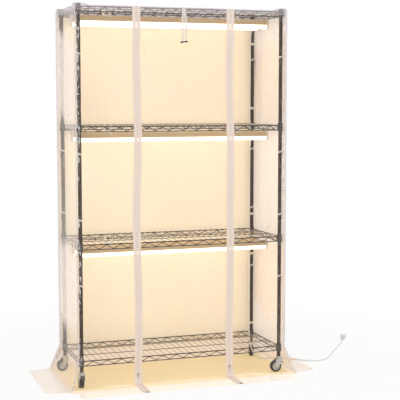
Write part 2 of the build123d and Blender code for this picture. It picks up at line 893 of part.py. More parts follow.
def flare(foot, head):
    """A leaning wall of film between two matching outlines, foot on the floor, head at flare_height."""
    with BuildSketch(Plane.XY) as foot_outline:
        closed_profile(foot)
    with BuildSketch(Plane.XY.offset(flare_height)) as head_outline:
        closed_profile(head)
    loft([foot_outline.sketch.face(), head_outline.sketch.face()], ruled=True)


with BuildPart() as cover_top_film:
    with BuildSketch(Plane.XY.offset(cover_top)):
        RectangleRounded(
            2 * (cover_x + cover_overhang), 2 * (cover_y + cover_overhang), cover_overhang
        )
    extrude(amount=film_thickness)
save(cover_top_film, "cover_top")


def side_film(side, slit):
    """A side of the cover: folded panel, flared foot and floor flap, with an optional cord slit."""
    inner_x = cover_x - film_thickness
    with BuildPart() as film:
        if side > 0:
            folded_panel((cover_x, -cover_y), (cover_x, cover_y), flare_height, cover_top)
        else:
            folded_panel((-cover_x, cover_y), (-cover_x, -cover_y), flare_height, cover_top)
        flap_x = fold_x + flap_side_reach
        flap_y = fold_y - flap_taper
        slit_half = cord_slit_width / 2
        if slit:
            slit_ys = [(-fold_y, cord_slit_inner_y - slit_half), (cord_slit_inner_y + slit_half, fold_y)]
            outer_ys = [(-flap_y, cord_slit_outer_y - slit_half), (cord_slit_outer_y + slit_half, flap_y)]
        else:
            slit_ys = [(-fold_y, fold_y)]
            outer_ys = [(-flap_y, flap_y)]
        for (low, high), (outer_low, outer_high) in zip(slit_ys, outer_ys):
            head_low = max(low, -cover_y)
            head_high = min(high, cover_y)
            inner_low = low + film_thickness * (low == -fold_y)
            inner_high = high - film_thickness * (high == fold_y)
            flare(
                [
                    (side * fold_x, low),
                    (side * fold_x, high),
                    (side * (fold_x - film_thickness), inner_high),
                    (side * (fold_x - film_thickness), inner_low),
                ],
                [
                    (side * cover_x, head_low),
                    (side * cover_x, head_high),
                    (side * inner_x, head_high - film_thickness * (high == fold_y)),
                    (side * inner_x, head_low + film_thickness * (low == -fold_y)),
                ],
            )
            film_slab(
                [
                    (side * (fold_x - film_thickness), inner_low),
                    (side * fold_x, low),
                    (side * flap_x, outer_low),
                    (side * flap_x, outer_high),
                    (side * fold_x, high),
                    (side * (fold_x - film_thickness), inner_high),
                ]
            )
    return film


save(side_film(-1, False), "cover_left")
save(side_film(1, True), "cover_right")


def corner_bulge(x_side, y_side):
    """The film's foot stands out round a caster, and runs back to the flat of the panel."""
    t = film_thickness
    ramp_start = fold_x - bulge_length - bulge_ramp
    ramp_end = fold_x - bulge_length
    flat_head = cover_x - bulge_length + flare_side

    def outline(points, inward):
        return [(x_side * x, y_side * (y - inward)) for x, y in points]

    ramp_foot = [(ramp_start, cover_y), (ramp_end, fold_y)]
    ramp_head = [(ramp_start, cover_y), (flat_head, cover_y)]
    flare(
        outline(ramp_foot, 0) + list(reversed(outline(ramp_foot, t))),
        outline(ramp_head, 0) + list(reversed(outline(ramp_head, t))),
    )
    run_foot = [(ramp_end, fold_y), (fold_x, fold_y)]
    run_head = [(flat_head, cover_y), (cover_x, cover_y)]
    inner_run_foot = [(ramp_end, fold_y), (fold_x - t, fold_y)]
    inner_run_head = [(flat_head, cover_y), (cover_x - t, cover_y)]
    flare(
        outline(run_foot, 0) + list(reversed(outline(inner_run_foot, t))),
        outline(run_head, 0) + list(reversed(outline(inner_run_head, t))),
    )


def end_flap(x_from, y_side, bulged_sides):
    """The floor flap in front of or behind the rack, from x_from outwards to each bulged side."""
    flap_y = fold_y + flap_end_reach
    ramp_start = fold_x - bulge_length - bulge_ramp
    ramp_end = fold_x - bulge_length
    half = [
        (ramp_start, cover_y - film_thickness),
        (ramp_end, fold_y - film_thickness),
        (fold_x - film_thickness, fold_y - film_thickness),
        (fold_x, fold_y),
        (fold_x - flap_taper, flap_y),
    ]
    if len(bulged_sides) == 2:
        points = [(-x, y) for x, y in half] + [(x, y) for x, y in reversed(half)]
    else:
        inner_end = [(x_from, cover_y - film_thickness)]
        points = [(bulged_sides[0] * x, y) for x, y in inner_end + half + [(x_from, flap_y)]]
    film_slab([(x, y_side * y) for x, y in points])


def front_film(x_side):
    """Film between a front pole and the door's zip."""
    flat_foot = fold_x - bulge_length - bulge_ramp
    with BuildPart() as film:
        panel_ends = sorted([x_side * fixed_edge, x_side * (cover_x - film_thickness)])
        folded_panel((panel_ends[0], -cover_y), (panel_ends[1], -cover_y), flare_height, cover_top)
        with BuildSketch():
            with Locations((x_side * (fixed_edge + flat_foot) / 2, -cover_y + film_thickness / 2)):
                Rectangle(flat_foot - fixed_edge, film_thickness)
        extrude(amount=flare_height)
        corner_bulge(x_side, -1)
        end_flap(fixed_edge, -1, [x_side])
    return film


save(front_film(-1), "cover_front_left")
save(front_film(1), "cover_front_right")

with BuildPart() as cover_back:
    back_x = cover_x - film_thickness
    folded_panel((back_x, cover_y), (-back_x, cover_y), flare_height, cover_top)
    back_flat = 2 * (fold_x - bulge_length - bulge_ramp)
    with BuildSketch():
        with Locations((0, cover_y - film_thickness / 2)):
            Rectangle(back_flat, film_thickness)
    extrude(amount=flare_height)
    corner_bulge(-1, 1)
    corner_bulge(1, 1)
    end_flap(0, 1, [-1, 1])
save(cover_back, "cover_back")

# Door film between the zips, and the piece of hem that lies in front of it
with BuildPart() as door_film:
    folded_panel((-door_half, -cover_y), (door_half, -cover_y), 0, cover_top)
save(door_film, "door_film")

hem_reach = fold_y + flap_end_reach
hem_inner = cover_y + cover_overhang
with BuildPart() as hem_film:
    film_slab(
        [
            (-door_half, -hem_inner),
            (-door_half, -hem_reach),
            (door_half, -hem_reach),
            (door_half, -hem_inner),
        ]
    )
save(hem_film, "hem_film")

# Zip tapes: each zip has a tape sewn to the fixed film and one sewn to the door,
# with the teeth along their facing edges
tape_face = cover_y
chain_middle = tape_face - tape_thickness / 2


def tape_pair(inward, floor_from):
    """Half tapes of both zips: inward +1 for the door's side, -1 for the fixed side."""
    for side in (-1, 1):
        edge = side * (zip_offset - inward * chain_gap)
        outer = side * (zip_offset - inward * tape_width)
        chain_outer = edge - side * inward * chain_width
        if floor_from is None:
            with BuildSketch() as upright:
                with Locations(((edge + outer) / 2, -chain_middle)):
                    Rectangle(abs(outer - edge), tape_thickness)
                with Locations(((edge + chain_outer) / 2, -chain_middle)):
                    Rectangle(chain_width, chain_thickness)
            extrude(upright.sketch, amount=cover_top)
        else:
            run = hem_reach - floor_from
            with BuildSketch() as strip:
                with Locations(((edge + outer) / 2, -(floor_from + run / 2))):
                    Rectangle(abs(outer - edge), run)
            extrude(strip.sketch, amount=tape_thickness)
            with BuildSketch(Plane.XY.offset(tape_thickness)) as teeth:
                with Locations(((edge + chain_outer) / 2, -(floor_from + run / 2))):
                    Rectangle(chain_width, run)
            extrude(teeth.sketch, amount=chain_floor_rise)


with BuildPart() as zip_tapes_fixed:
    tape_pair(-1, None)
    tape_pair(-1, chain_middle + chain_thickness / 2)
save(zip_tapes_fixed, "zip_tapes_fixed")

with BuildPart() as zip_tapes_door:
    tape_pair(1, None)
save(zip_tapes_door, "zip_tapes_door")

with BuildPart() as hem_tapes:
    tape_pair(1, hem_inner)
save(hem_tapes, "hem_tapes")

# Zip sliders: a front and a back plate joined by a post between the teeth, and a bridge for the pull
slider_half_room = chain_thickness / 2 + slider_play
slider_middle = slider_rest + slider_height / 2
bridge_face = slider_half_room + slider_plate
pull_axis_height = slider_middle
pull_axis_face = bridge_face + slider_bridge_rise / 2


def slider_master(side):
    """Built round the zip's line; -Y is the front."""
    with BuildPart() as slider:
        for face in (-1, 1):
            plate_plane = Plane.XZ.offset(chain_middle - face * slider_half_room)
            with BuildSketch(plate_plane):
                with Locations((side * zip_offset, slider_middle)):
                    RectangleRounded(2 * slider_half_width, slider_height, slider_half_width / 3)
            extrude(amount=-face * slider_plate)
        with BuildSketch(Plane.XZ.offset(chain_middle)):
            with Locations((side * zip_offset, slider_rest + slider_post_height / 2)):
                Rectangle(slider_post_width, slider_post_height)
        extrude(amount=slider_half_room + slider_plate / 2, both=True)
        bridge_plane = Plane.XZ.offset(chain_middle + bridge_face)
        leg_offset = (slider_bridge_length + slider_bridge_bar) / 2
        with BuildSketch(bridge_plane):
            for leg in (-1, 1):
                with Locations((side * zip_offset, slider_middle + leg * leg_offset)):
                    Rectangle(slider_bridge_width, slider_bridge_bar)
        extrude(amount=slider_bridge_rise + slider_bridge_bar)
        with BuildSketch(bridge_plane.offset(slider_bridge_rise)):
            with Locations((side * zip_offset, slider_middle)):
                Rectangle(slider_bridge_width, slider_bridge_length + 2 * slider_bridge_bar)
        extrude(amount=slider_bridge_bar)
    return slider


def pull_master(side):
    """A flat tab whose top bar passes under the slider's bridge; it hangs straight down."""
    with BuildPart() as pull:
        with BuildSketch(Plane.XZ.offset(chain_middle + pull_axis_face)):
            with Locations((side * zip_offset, pull_axis_height + pull_bar / 2 - pull_length / 2)):
                RectangleRounded(pull_width, pull_length, pull_round)
            window_top = pull_axis_height - pull_bar / 2
            with Locations((side * zip_offset, window_top - pull_window_length / 2)):
                Rectangle(pull_window_width, pull_window_length, mode=Mode.SUBTRACT)
        extrude(amount=pull_thickness / 2, both=True)
    return pull


for name, side in (("left", -1), ("right", 1)):
    save(slider_master(side), f"zip_slider_{name}")
    save(pull_master(side), f"zip_pull_{name}")

# Roll-up tie: a folded ribbon over the top front edge that ends in a toggle bar
ribbon_face = cover_y + cover_overhang
ribbon_foot = cover_top - ribbon_length
with BuildPart() as roll_tie:
    for leg in (-1, 1):
        leg_x = ribbon_shift + leg * ribbon_spread
        with BuildSketch(Plane.YZ.offset(leg_x)):
            closed_profile(
                [
                    (-ribbon_face, ribbon_foot),
                    (-ribbon_face, cover_top + film_thickness),
                    (ribbon_lap - ribbon_face, cover_top + film_thickness),
                    (ribbon_lap - ribbon_face, cover_top + film_thickness + ribbon_thickness),
                    (-ribbon_face - ribbon_thickness, cover_top + film_thickness + ribbon_thickness),
                    (-ribbon_face - ribbon_thickness, ribbon_foot),
                ]
            )
        extrude(amount=ribbon_width / 2, both=True)
save(roll_tie, "roll_tie")

with BuildPart() as tie_toggle:
    toggle_centre = (0, -ribbon_face - ribbon_thickness / 2, ribbon_foot - toggle_radius)
    with BuildSketch(Plane.YZ.offset(ribbon_shift - toggle_length / 2)):
        with Locations(toggle_centre[1:]):
            Circle(toggle_radius)
    extrude(amount=toggle_length)
    chamfer(tie_toggle.edges().filter_by(GeomType.CIRCLE), length=toggle_radius / 3)
save(tie_toggle, "tie_toggle")

# Cover ties: a band round each pole with a tail sewn to the side film
with BuildPart() as cover_ties:
    for height in tie_heights:
        with BuildSketch(Plane.XY.offset(height)):
            for x, y in corners.values():
                outward = math.copysign(1, x)
                with Locations((x, y)):
                    Circle(pole_radius + sleeve_play + tie_band_wall)
                tail_middle = pole_radius + tie_tail_length / 2
                with Locations((x + outward * tail_middle, y)):
                    Rectangle(tie_tail_length + tie_band_wall, tie_tail_width)
            for x, y in corners.values():
                with Locations((x, y)):
                    Circle(pole_radius + sleeve_play, mode=Mode.SUBTRACT)
        extrude(amount=tie_band_height)
save(cover_ties, "cover_ties")
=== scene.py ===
import math

import bpy
from mathutils import Matrix, Vector, noise


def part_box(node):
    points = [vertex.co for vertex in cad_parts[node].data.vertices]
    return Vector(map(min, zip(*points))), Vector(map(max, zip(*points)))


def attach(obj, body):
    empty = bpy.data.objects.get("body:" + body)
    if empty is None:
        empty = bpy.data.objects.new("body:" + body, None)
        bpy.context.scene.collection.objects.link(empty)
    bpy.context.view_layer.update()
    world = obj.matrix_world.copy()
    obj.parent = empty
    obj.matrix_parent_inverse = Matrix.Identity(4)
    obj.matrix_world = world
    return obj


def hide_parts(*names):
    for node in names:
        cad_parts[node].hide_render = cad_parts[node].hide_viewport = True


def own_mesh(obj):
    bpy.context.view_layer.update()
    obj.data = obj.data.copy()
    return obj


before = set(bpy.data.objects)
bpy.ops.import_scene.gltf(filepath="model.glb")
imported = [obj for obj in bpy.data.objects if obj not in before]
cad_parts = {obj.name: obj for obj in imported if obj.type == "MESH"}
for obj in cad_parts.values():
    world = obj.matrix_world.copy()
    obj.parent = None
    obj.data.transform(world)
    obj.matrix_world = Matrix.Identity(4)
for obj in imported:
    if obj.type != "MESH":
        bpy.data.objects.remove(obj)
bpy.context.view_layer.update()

# Plant stand with grow lights: a wire rack on casters with lamp bars and a clear zip-up film cover.
# Metres, +Z up, the front door towards -Y. Places come from the frame's own boxes.

mm = 0.001
onAxis = 0.0001  # radius that closes a turned piece at its middle

poleLow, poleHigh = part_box("pole_front_left")
poleX = -(poleLow.x + poleHigh.x) / 2
poleY = -(poleLow.y + poleHigh.y) / 2
poleRadius = (poleHigh.x - poleLow.x) / 2
corners = {
    "front_left": (-poleX, -poleY), "front_right": (poleX, -poleY),
    "rear_left": (-poleX, poleY), "rear_right": (poleX, poleY),
}
sides = {"left": -1, "right": 1}
collarRise = 9 * mm
deckTop = 5.5 * mm
shelfLevels = [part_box(f"shelf_{number}")[1].z - deckTop for number in range(1, 5)]
lampShelves = (2, 3, 4)
hemLow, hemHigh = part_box("hem_film")
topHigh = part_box("cover_top")[1]
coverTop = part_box("door_film")[1].z


# Helpers
def hexColour(code):
    # sRGB hex to linear
    parts = [int(code[place:place + 2], 16) / 255 for place in (0, 2, 4)]
    return tuple(p / 12.92 if p <= 0.04045 else ((p + 0.055) / 1.055) ** 2.4 for p in parts) + (1.0,)


def addNode(tree, kind, values=None, links=None, **settings):
    # one node: its settings, then its values, then its links from other nodes or their outputs
    node = tree.nodes.new(kind)
    for key, value in settings.items():
        setattr(node, key, value)
    for key, value in (values or {}).items():
        node.inputs[key].default_value = value
    for key, source in (links or {}).items():
        if isinstance(source, bpy.types.Node):
            source = next(output for output in source.outputs if output.enabled)
        tree.links.new(source, node.inputs[key])
    return node


def startMaterial(name):
    material = bpy.data.materials.new(name)
    material.use_nodes = True
    material.node_tree.nodes.clear()
    return material, material.node_tree


def deselectAll():
    if bpy.context.object and bpy.context.object.mode != "OBJECT":
        bpy.ops.object.mode_set(mode="OBJECT")
    bpy.ops.object.select_all(action="DESELECT")


def only(piece):
    deselectAll()
    piece.select_set(True)
    bpy.context.view_layer.objects.active = piece


def newPiece(name, data):
    piece = bpy.data.objects.new(name, data)
    bpy.context.scene.collection.objects.link(piece)
    only(piece)
    return piece


def applyPlace(piece):
    only(piece)
    bpy.ops.object.transform_apply(location=True, rotation=True, scale=True)


def applyModifier(piece, kind, **settings):
    only(piece)
    modifier = piece.modifiers.new(kind.title(), kind)
    for key, value in settings.items():
        setattr(modifier, key, value)
    bpy.ops.object.modifier_apply(modifier=modifier.name)


def smooth(piece, degrees):
    only(piece)
    bpy.ops.object.shade_smooth_by_angle(angle=math.radians(degrees))


def editAll():
    bpy.ops.object.mode_set(mode="EDIT")
    bpy.ops.mesh.select_all(action="SELECT")


def turnOutwards():
    bpy.ops.mesh.normals_make_consistent(inside=False)
    bpy.ops.object.mode_set(mode="OBJECT")


def thicken(piece, thickness, degrees=50):
    # film and tape have two faces and an edge
    only(piece)
    editAll()
    turnOutwards()
    applyModifier(piece, "SOLIDIFY", thickness=thickness, offset=0.0)
    smooth(piece, degrees)
    return piece


def repeat(piece, count, step):
    # the same piece again and again, one step apart
    applyModifier(piece, "ARRAY", count=count, use_relative_offset=False, use_constant_offset=True,
                  constant_offset_displace=step)


def join(pieces, name):
    deselectAll()
    for piece in pieces:
        piece.select_set(True)
    bpy.context.view_layer.objects.active = pieces[0]
    if len(pieces) > 1:
        bpy.ops.object.join()
    pieces[0].name = name
    pieces[0].data.name = name
    return pieces[0]


def copiesOf(master, places):
    # a copy with its own mesh at each place, which is a move and perhaps a turn; the master goes
    copies = []
    for move, *turn in places:
        twin = master.copy()
        twin.data = master.data.copy()
        bpy.context.scene.collection.objects.link(twin)
        twin.data.transform(Matrix.Translation(Vector(move)) @ (turn[0] if turn else Matrix.Identity(4)))
        copies.append(twin)
    bpy.data.objects.remove(master)
    return copies


def finishPiece(piece, material, body, nodes=()):
    applyPlace(piece)
    if material:
        piece.data.materials.clear()
        piece.data.materials.append(material)
    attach(piece, body)
    if nodes:
        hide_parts(*nodes)
    return piece


def finishGroup(pieces, name, degrees, material, nodes=()):
    # pieces of one kind on the stand become one object
    whole = join(pieces, name)
    smooth(whole, degrees)
    return finishPiece(whole, material, "stand", nodes)


def dress(node, material):
    # a CAD node keeps its shape and gets its finish
    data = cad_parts[node].data
    data.materials.clear()
    data.materials.append(material)


def lathe(name, profile, steps, degrees=360):
    # a closed profile of (radius, height) points turned about Z; a part turn gets flat ends
    data = bpy.data.meshes.new(name)
    edges = [(place, (place + 1) % len(profile)) for place in range(len(profile))]
    data.from_pydata([(radius, 0, height) for radius, height in profile], edges, [])
    piece = newPiece(name, data)
    editAll()
    if degrees < 360:
        bpy.ops.mesh.edge_face_add()
    bpy.ops.mesh.spin(steps=steps, angle=math.radians(degrees), center=(0, 0, 0), axis=(0, 0, 1))
    bpy.ops.mesh.select_all(action="SELECT")
    if degrees == 360:
        bpy.ops.mesh.remove_doubles(threshold=0.01 * mm)
    turnOutwards()
    return piece


def rod(start, end, radius, facets=10):
    start, end = Vector(start), Vector(end)
    bpy.ops.mesh.primitive_cylinder_add(
        vertices=facets, radius=radius, depth=(end - start).length, location=(start + end) / 2)
    piece = bpy.context.object
    piece.rotation_mode = "QUATERNION"
    piece.rotation_quaternion = (end - start).to_track_quat("Z", "Y")
    return piece


def block(size, place, bevel, segments, turn=0.0):
    # a box with softened edges
    bpy.ops.mesh.primitive_cube_add(size=1, location=place, rotation=(0, 0, turn))
    piece = bpy.context.object
    piece.scale = size
    applyPlace(piece)
    applyModifier(piece, "BEVEL", width=bevel, segments=segments)
    return piece


def wireCurve(name, points, radius, resolution=2, kind="POLY"):
    # a round wire along its points, still a curve
    data = bpy.data.curves.new(name, "CURVE")
    data.dimensions = "3D"
    data.bevel_depth = radius
    data.bevel_resolution = resolution
    data.use_fill_caps = True
    spline = data.splines.new(kind)
    spline.points.add(len(points) - 1)
    for point, place in zip(spline.points, points):
        point.co = (*place, 1)
    return newPiece(name, data)


def sheetGrid(name, columns, rows, place):
    # a sheet of film or tape: place(across, down) gives each point, both from 0 to 1
    deselectAll()
    bpy.ops.mesh.primitive_grid_add(x_subdivisions=columns, y_subdivisions=rows, size=1)
    piece = bpy.context.object
    piece.name = name
    piece.data.name = name
    for vertex in piece.data.vertices:
        vertex.co = place(vertex.co.x + 0.5, 0.5 - vertex.co.y)
    return piece


def easeBetween(value, low, high):
    share = min(1.0, max(0.0, (value - low) / (high - low)))
    return share * share * (3 - 2 * share)


def ruffle(x, y, z):
    # smooth noise between about -1 and 1
    return noise.noise(Vector((x, y, z)))


print("stage: frame loaded,", len(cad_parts), "nodes")

# Camera, fitted to the photograph
cameraPlace = {"spot": (-1.4164, -4.4511, 1.1845), "yaw": 19.18, "pitch": -5.26, "lens": 97.2, "sensor": 36.0,
               "clipEnd": 60}
bpy.ops.object.camera_add(location=cameraPlace["spot"])
camera = bpy.context.object
camera.rotation_euler = (math.radians(90 + cameraPlace["pitch"]), 0, -math.radians(cameraPlace["yaw"]))
camera.data.lens = cameraPlace["lens"]
camera.data.sensor_width = cameraPlace["sensor"]
camera.data.clip_end = cameraPlace["clipEnd"]
bpy.context.scene.camera = camera

# Studio: a pale floor, an even pale surround and two large soft lamps
studio = {
    "floorSize": 30.0, "floorDrop": 0.3 * mm, "floorColour": "f5f4f2",
    "glowNear": 0.88,    # share of the floor that shows the surround's white to the camera
    "glowInside": 0.4,   # the same inside the cover, where the lamps light the floor
    "glowFrom": 0.75, "glowTo": 1.9, "coverHalf": (0.50, 0.222), "coverEdge": (0.94, 1.03),
    # the warm paint and glow of the floor inside the cover: a painted pool of the lamps' light
    "paintedPoolColour": "fff0cc", "paintedPoolGlow": "ffdfa2",
    "surroundSeen": 1.0, "surroundLight": 0.62,
    "lamps": {
        "key_lamp": {"spot": (-2.6, -3.2, 3.4), "aim": (0, 0, 0.7), "size": 2.4, "power": 62.0,
                     "colour": "fffaf2"},
        "fill_lamp": {"spot": (3.2, -1.6, 2.2), "aim": (0, 0, 0.8), "size": 2.0, "power": 26.0,
                      "colour": "fdfaff"},
    },
    "filmLayers": 32,  # the cover is seen through several walls of film
}


def seenByCamera(tree):
    # 1 where the camera sees a place straight, mirrored or through something clear
    ray = addNode(tree, "ShaderNodeLightPath")
    seen = ray.outputs["Is Camera Ray"]
    for kind in ("Is Glossy Ray", "Is Transmission Ray"):
        seen = addNode(tree, "ShaderNodeMath", {}, {0: seen, 1: ray.outputs[kind]}, operation="MAXIMUM")
    return seen


def makeFloorMaterial():
    # matt painted floor; the camera also sees the white surround in it, and the shadow stays; inside the
    # cover its paint and the glow the camera sees are warm, a painted pool of the lamps' light
    material, tree = startMaterial("studio_floor")
    place = addNode(tree, "ShaderNodeTexCoord")
    flat = addNode(tree, "ShaderNodeMapping", {"Scale": (1, 1, 0)}, {"Vector": place.outputs["Object"]})
    away = addNode(tree, "ShaderNodeVectorMath", {}, {0: flat}, operation="LENGTH")
    far = addNode(tree, "ShaderNodeMapRange",
                  {"From Min": studio["glowFrom"], "From Max": studio["glowTo"],
                   "To Min": studio["glowNear"], "To Max": 1.0}, {"Value": away.outputs["Value"]},
                  interpolation_type="SMOOTHSTEP")
    halfX, halfY = studio["coverHalf"]
    squared = addNode(tree, "ShaderNodeMapping", {"Scale": (1 / halfX, 1 / halfY, 0)},
                      {"Vector": place.outputs["Object"]})
    axes = addNode(tree, "ShaderNodeSeparateXYZ", {}, {0: squared})
    wide = addNode(tree, "ShaderNodeMath", {}, {0: axes.outputs["X"]}, operation="ABSOLUTE")
    deep = addNode(tree, "ShaderNodeMath", {}, {0: axes.outputs["Y"]}, operation="ABSOLUTE")
    rim = addNode(tree, "ShaderNodeMath", {}, {0: wide, 1: deep}, operation="MAXIMUM")
    innerEdge, outerEdge = studio["coverEdge"]
    outside = addNode(tree, "ShaderNodeMapRange", {"From Min": innerEdge, "From Max": outerEdge},
                      {"Value": rim})
    share = addNode(tree, "ShaderNodeMapRange", {"To Min": studio["glowInside"], "To Max": 1.0},
                    {"Value": outside})
    for other in (far, seenByCamera(tree)):
        share = addNode(tree, "ShaderNodeMath", {}, {0: share, 1: other}, operation="MULTIPLY")
    # inside the cover's footprint the floor is painted warm: a painted pool of lamp light
    paintedPoolTint = addNode(tree, "ShaderNodeMix", {"A": hexColour(studio["paintedPoolColour"]),
                                           "B": hexColour(studio["floorColour"])}, {"Factor": outside},
                   data_type="RGBA")
    white = addNode(tree, "ShaderNodeMix", {"A": hexColour(studio["paintedPoolGlow"]), "B": (1, 1, 1, 1)},
                    {"Factor": outside}, data_type="RGBA")
    paint = addNode(tree, "ShaderNodeBsdfDiffuse", {}, {"Color": paintedPoolTint})
    glow = addNode(tree, "ShaderNodeEmission", {"Strength": 1.0}, {"Color": white})
    mixed = addNode(tree, "ShaderNodeMixShader", {}, {0: share, 1: paint, 2: glow})
    addNode(tree, "ShaderNodeOutputMaterial", {}, {"Surface": mixed})
    return material


bpy.ops.mesh.primitive_plane_add(size=studio["floorSize"], location=(0, 0, -studio["floorDrop"]))
floor = bpy.context.object
floor.name = "studio_floor"
floor.data.materials.append(makeFloorMaterial())

world = bpy.data.worlds.new("surround")
bpy.context.scene.world = world
world.use_nodes = True
worldTree = world.node_tree
worldTree.nodes.clear()
worldStrength = addNode(worldTree, "ShaderNodeMapRange",
                        {"To Min": studio["surroundLight"], "To Max": studio["surroundSeen"]},
                        {"Value": seenByCamera(worldTree)})
worldGlow = addNode(worldTree, "ShaderNodeBackground", {"Color": (1, 1, 1, 1)}, {"Strength": worldStrength})
addNode(worldTree, "ShaderNodeOutputWorld", {}, {"Surface": worldGlow})

for name, settings in studio["lamps"].items():
    spot = Vector(settings["spot"])
    bpy.ops.object.light_add(type="AREA", location=spot)
    lamp = bpy.context.object
    lamp.name = name
    lamp.data.energy = settings["power"]
    lamp.data.size = settings["size"]
    lamp.data.color = hexColour(settings["colour"])[:3]
    lamp.rotation_mode = "QUATERNION"
    lamp.rotation_quaternion = (Vector(settings["aim"]) - spot).to_track_quat("-Z", "Y")

scene = bpy.context.scene
scene.view_settings.view_transform = "Standard"
scene.cycles.transparent_max_bounces = studio["filmLayers"]
print("stage: camera and studio")


# Finishes
def objectPoints(tree, scale=(1, 1, 1)):
    # the piece's own coordinates, in metres, stretched by scale
    place = addNode(tree, "ShaderNodeTexCoord")
    return addNode(tree, "ShaderNodeMapping", {"Scale": scale}, {"Vector": place.outputs["Object"]})


def solidFinish(name, codes, patches, relief, shaderValues, grain=None, rough=None, stretch=(1, 1, 1)):
    # a finish that light doesn't pass: two close colours in soft patches, and a fine grain in relief, whose
    # strength and depth in mm are relief; rough is a low and high roughness that follow the patches
    material, tree = startMaterial(name)
    points = objectPoints(tree, stretch)
    broad = addNode(tree, "ShaderNodeTexNoise", patches, {"Vector": points})
    fine = addNode(tree, "ShaderNodeTexNoise", grain, {"Vector": points}) if grain else broad
    colour = addNode(tree, "ShaderNodeMix", {"A": hexColour(codes[0]), "B": hexColour(codes[1])},
                     {"Factor": broad}, data_type="RGBA")
    bump = addNode(tree, "ShaderNodeBump", {"Strength": relief[0], "Distance": relief[1] * mm},
                   {"Height": fine})
    links = {"Base Color": colour, "Normal": bump}
    if rough:
        links["Roughness"] = addNode(tree, "ShaderNodeMapRange", {"To Min": rough[0], "To Max": rough[1]},
                                     {"Value": broad})
    shader = addNode(tree, "ShaderNodeBsdfPrincipled", shaderValues, links)
    addNode(tree, "ShaderNodeOutputMaterial", {}, {"Surface": shader})
    return material


def powderCoat(name, codes, index, glossy=False):
    # black epoxy powder coat on steel: low sheen with an orange peel of about 1 mm and handling marks of
    # about 30 mm; the glossy one flows out smooth on thin wires and mirrors the lamps at a low angle
    return solidFinish(name, codes, {"Scale": 35.0, "Detail": 4.0}, (0.03 if glossy else 0.12, 0.2),
                       {"IOR": index, "Coat Weight": 0.7 if glossy else 0.08, "Coat Roughness": 0.06},
                       {"Scale": 900.0, "Detail": 2.0}, (0.12, 0.22) if glossy else (0.3, 0.46))


def mouldedPlastic(name, codes, rough, grain):
    # injection moulded plastic: an even colour with a fine spark-eroded grain
    return solidFinish(name, codes, {"Scale": 22.0, "Detail": 2.0}, (0.1, 0.2), {"IOR": 1.49},
                       {"Scale": grain, "Detail": 3.0}, (rough - 0.06, rough + 0.08))


def platedMetal(name, codes, rough, stretch=(1, 1, 1)):
    # zinc or nickel plate on pressed or cast metal: bright, with cloudy passivation and fine drawing lines
    return solidFinish(name, codes, {"Scale": 90.0, "Detail": 5.0}, (0.08, 0.2), {"Metallic": 1.0},
                       rough=(rough - 0.08, rough + 0.1), stretch=stretch)


def frostedDiffuser(name, codes, strength, lightPitch):
    # frosted polycarbonate over a lit strip: even, a little warmer between the light points
    material, tree = startMaterial(name)
    dots = addNode(tree, "ShaderNodeTexWave", {"Scale": 2 * math.pi / (20 * lightPitch)},
                   {"Vector": objectPoints(tree)})
    colour = addNode(tree, "ShaderNodeMix", {"A": hexColour(codes[0]), "B": hexColour(codes[1])},
                     {"Factor": dots.outputs["Fac"]}, data_type="RGBA")
    shader = addNode(tree, "ShaderNodeBsdfPrincipled",
                     {"Roughness": 0.45, "IOR": 1.58, "Emission Strength": strength,
                      "Base Color": hexColour(codes[0])}, {"Emission Color": colour})
    addNode(tree, "ShaderNodeOutputMaterial", {}, {"Surface": shader})
    return material


def bandsByHeight(tree, height, bands):
    # a value that changes with height: bands lists (metres, value) from the floor up
    tallest = 1.6
    share = addNode(tree, "ShaderNodeMath", {1: 1 / tallest}, {0: height}, operation="MULTIPLY")
    ramp = addNode(tree, "ShaderNodeValToRGB", {}, {"Fac": share})
    marks = ramp.color_ramp.elements
    marks.remove(marks[-1])
    for place, (metres, value) in enumerate(bands):
        mark = marks[0] if place == 0 else marks.new(metres / tallest)
        mark.position = metres / tallest
        mark.color = (value, value, value, 1)
    return ramp


filmLook = {
    "creaseScale": 24.0, "creaseWidth": 0.028, "creaseDepth": 4 * mm,  # creases about 40 mm apart
    "topCreases": (coverTop - 0.2, coverTop - 0.03), "poleCreases": (poleX - 0.05, poleX + 0.012),
    "cloudScale": 5.0,    # broad milky patches of about 200 mm
    "lap": (shelfLevels[-1] - 17 * mm, shelfLevels[-1] - 13 * mm),  # the top laps down over the walls
    "lapColour": "d3cad4",
    # how clear a side wall is, by height: it clings to the rack at the shelves and near the floor
    "windows": [(0.0, 0.5), (0.03, 0.95), (0.23, 0.95), (0.28, 0.18), (0.54, 0.18), (0.6, 0.85),
                (1.08, 0.95), (1.14, 0.18), (1.41, 0.18), (1.46, 0.95), (1.53, 0.95), (1.55, 0.7)],
    "windowSway": 0.2,
}


def paintedCreaseGlints(tree, ridges, axes):
    # sharp creases, near the top edge and near the poles only; clearFilm makes them milky white, a painted
    # highlight of their glints
    centred = addNode(tree, "ShaderNodeMath", {1: 0.5}, {0: ridges}, operation="SUBTRACT")
    folded = addNode(tree, "ShaderNodeMath", {}, {0: centred}, operation="ABSOLUTE")
    sharp = addNode(tree, "ShaderNodeMapRange", {"From Min": filmLook["creaseWidth"], "From Max": 0.0},
                    {"Value": folded})
    (topFrom, topTo), (poleFrom, poleTo) = filmLook["topCreases"], filmLook["poleCreases"]
    nearTop = addNode(tree, "ShaderNodeMapRange", {"From Min": topFrom, "From Max": topTo},
                      {"Value": axes.outputs["Z"]})
    wide = addNode(tree, "ShaderNodeMath", {}, {0: axes.outputs["X"]}, operation="ABSOLUTE")
    nearPole = addNode(tree, "ShaderNodeMapRange", {"From Min": poleFrom, "From Max": poleTo, "To Max": 0.8},
                       {"Value": wide})
    where = addNode(tree, "ShaderNodeMath", {}, {0: nearTop, 1: nearPole}, operation="MAXIMUM")
    return addNode(tree, "ShaderNodeMath", {}, {0: sharp, 1: where}, operation="MULTIPLY")


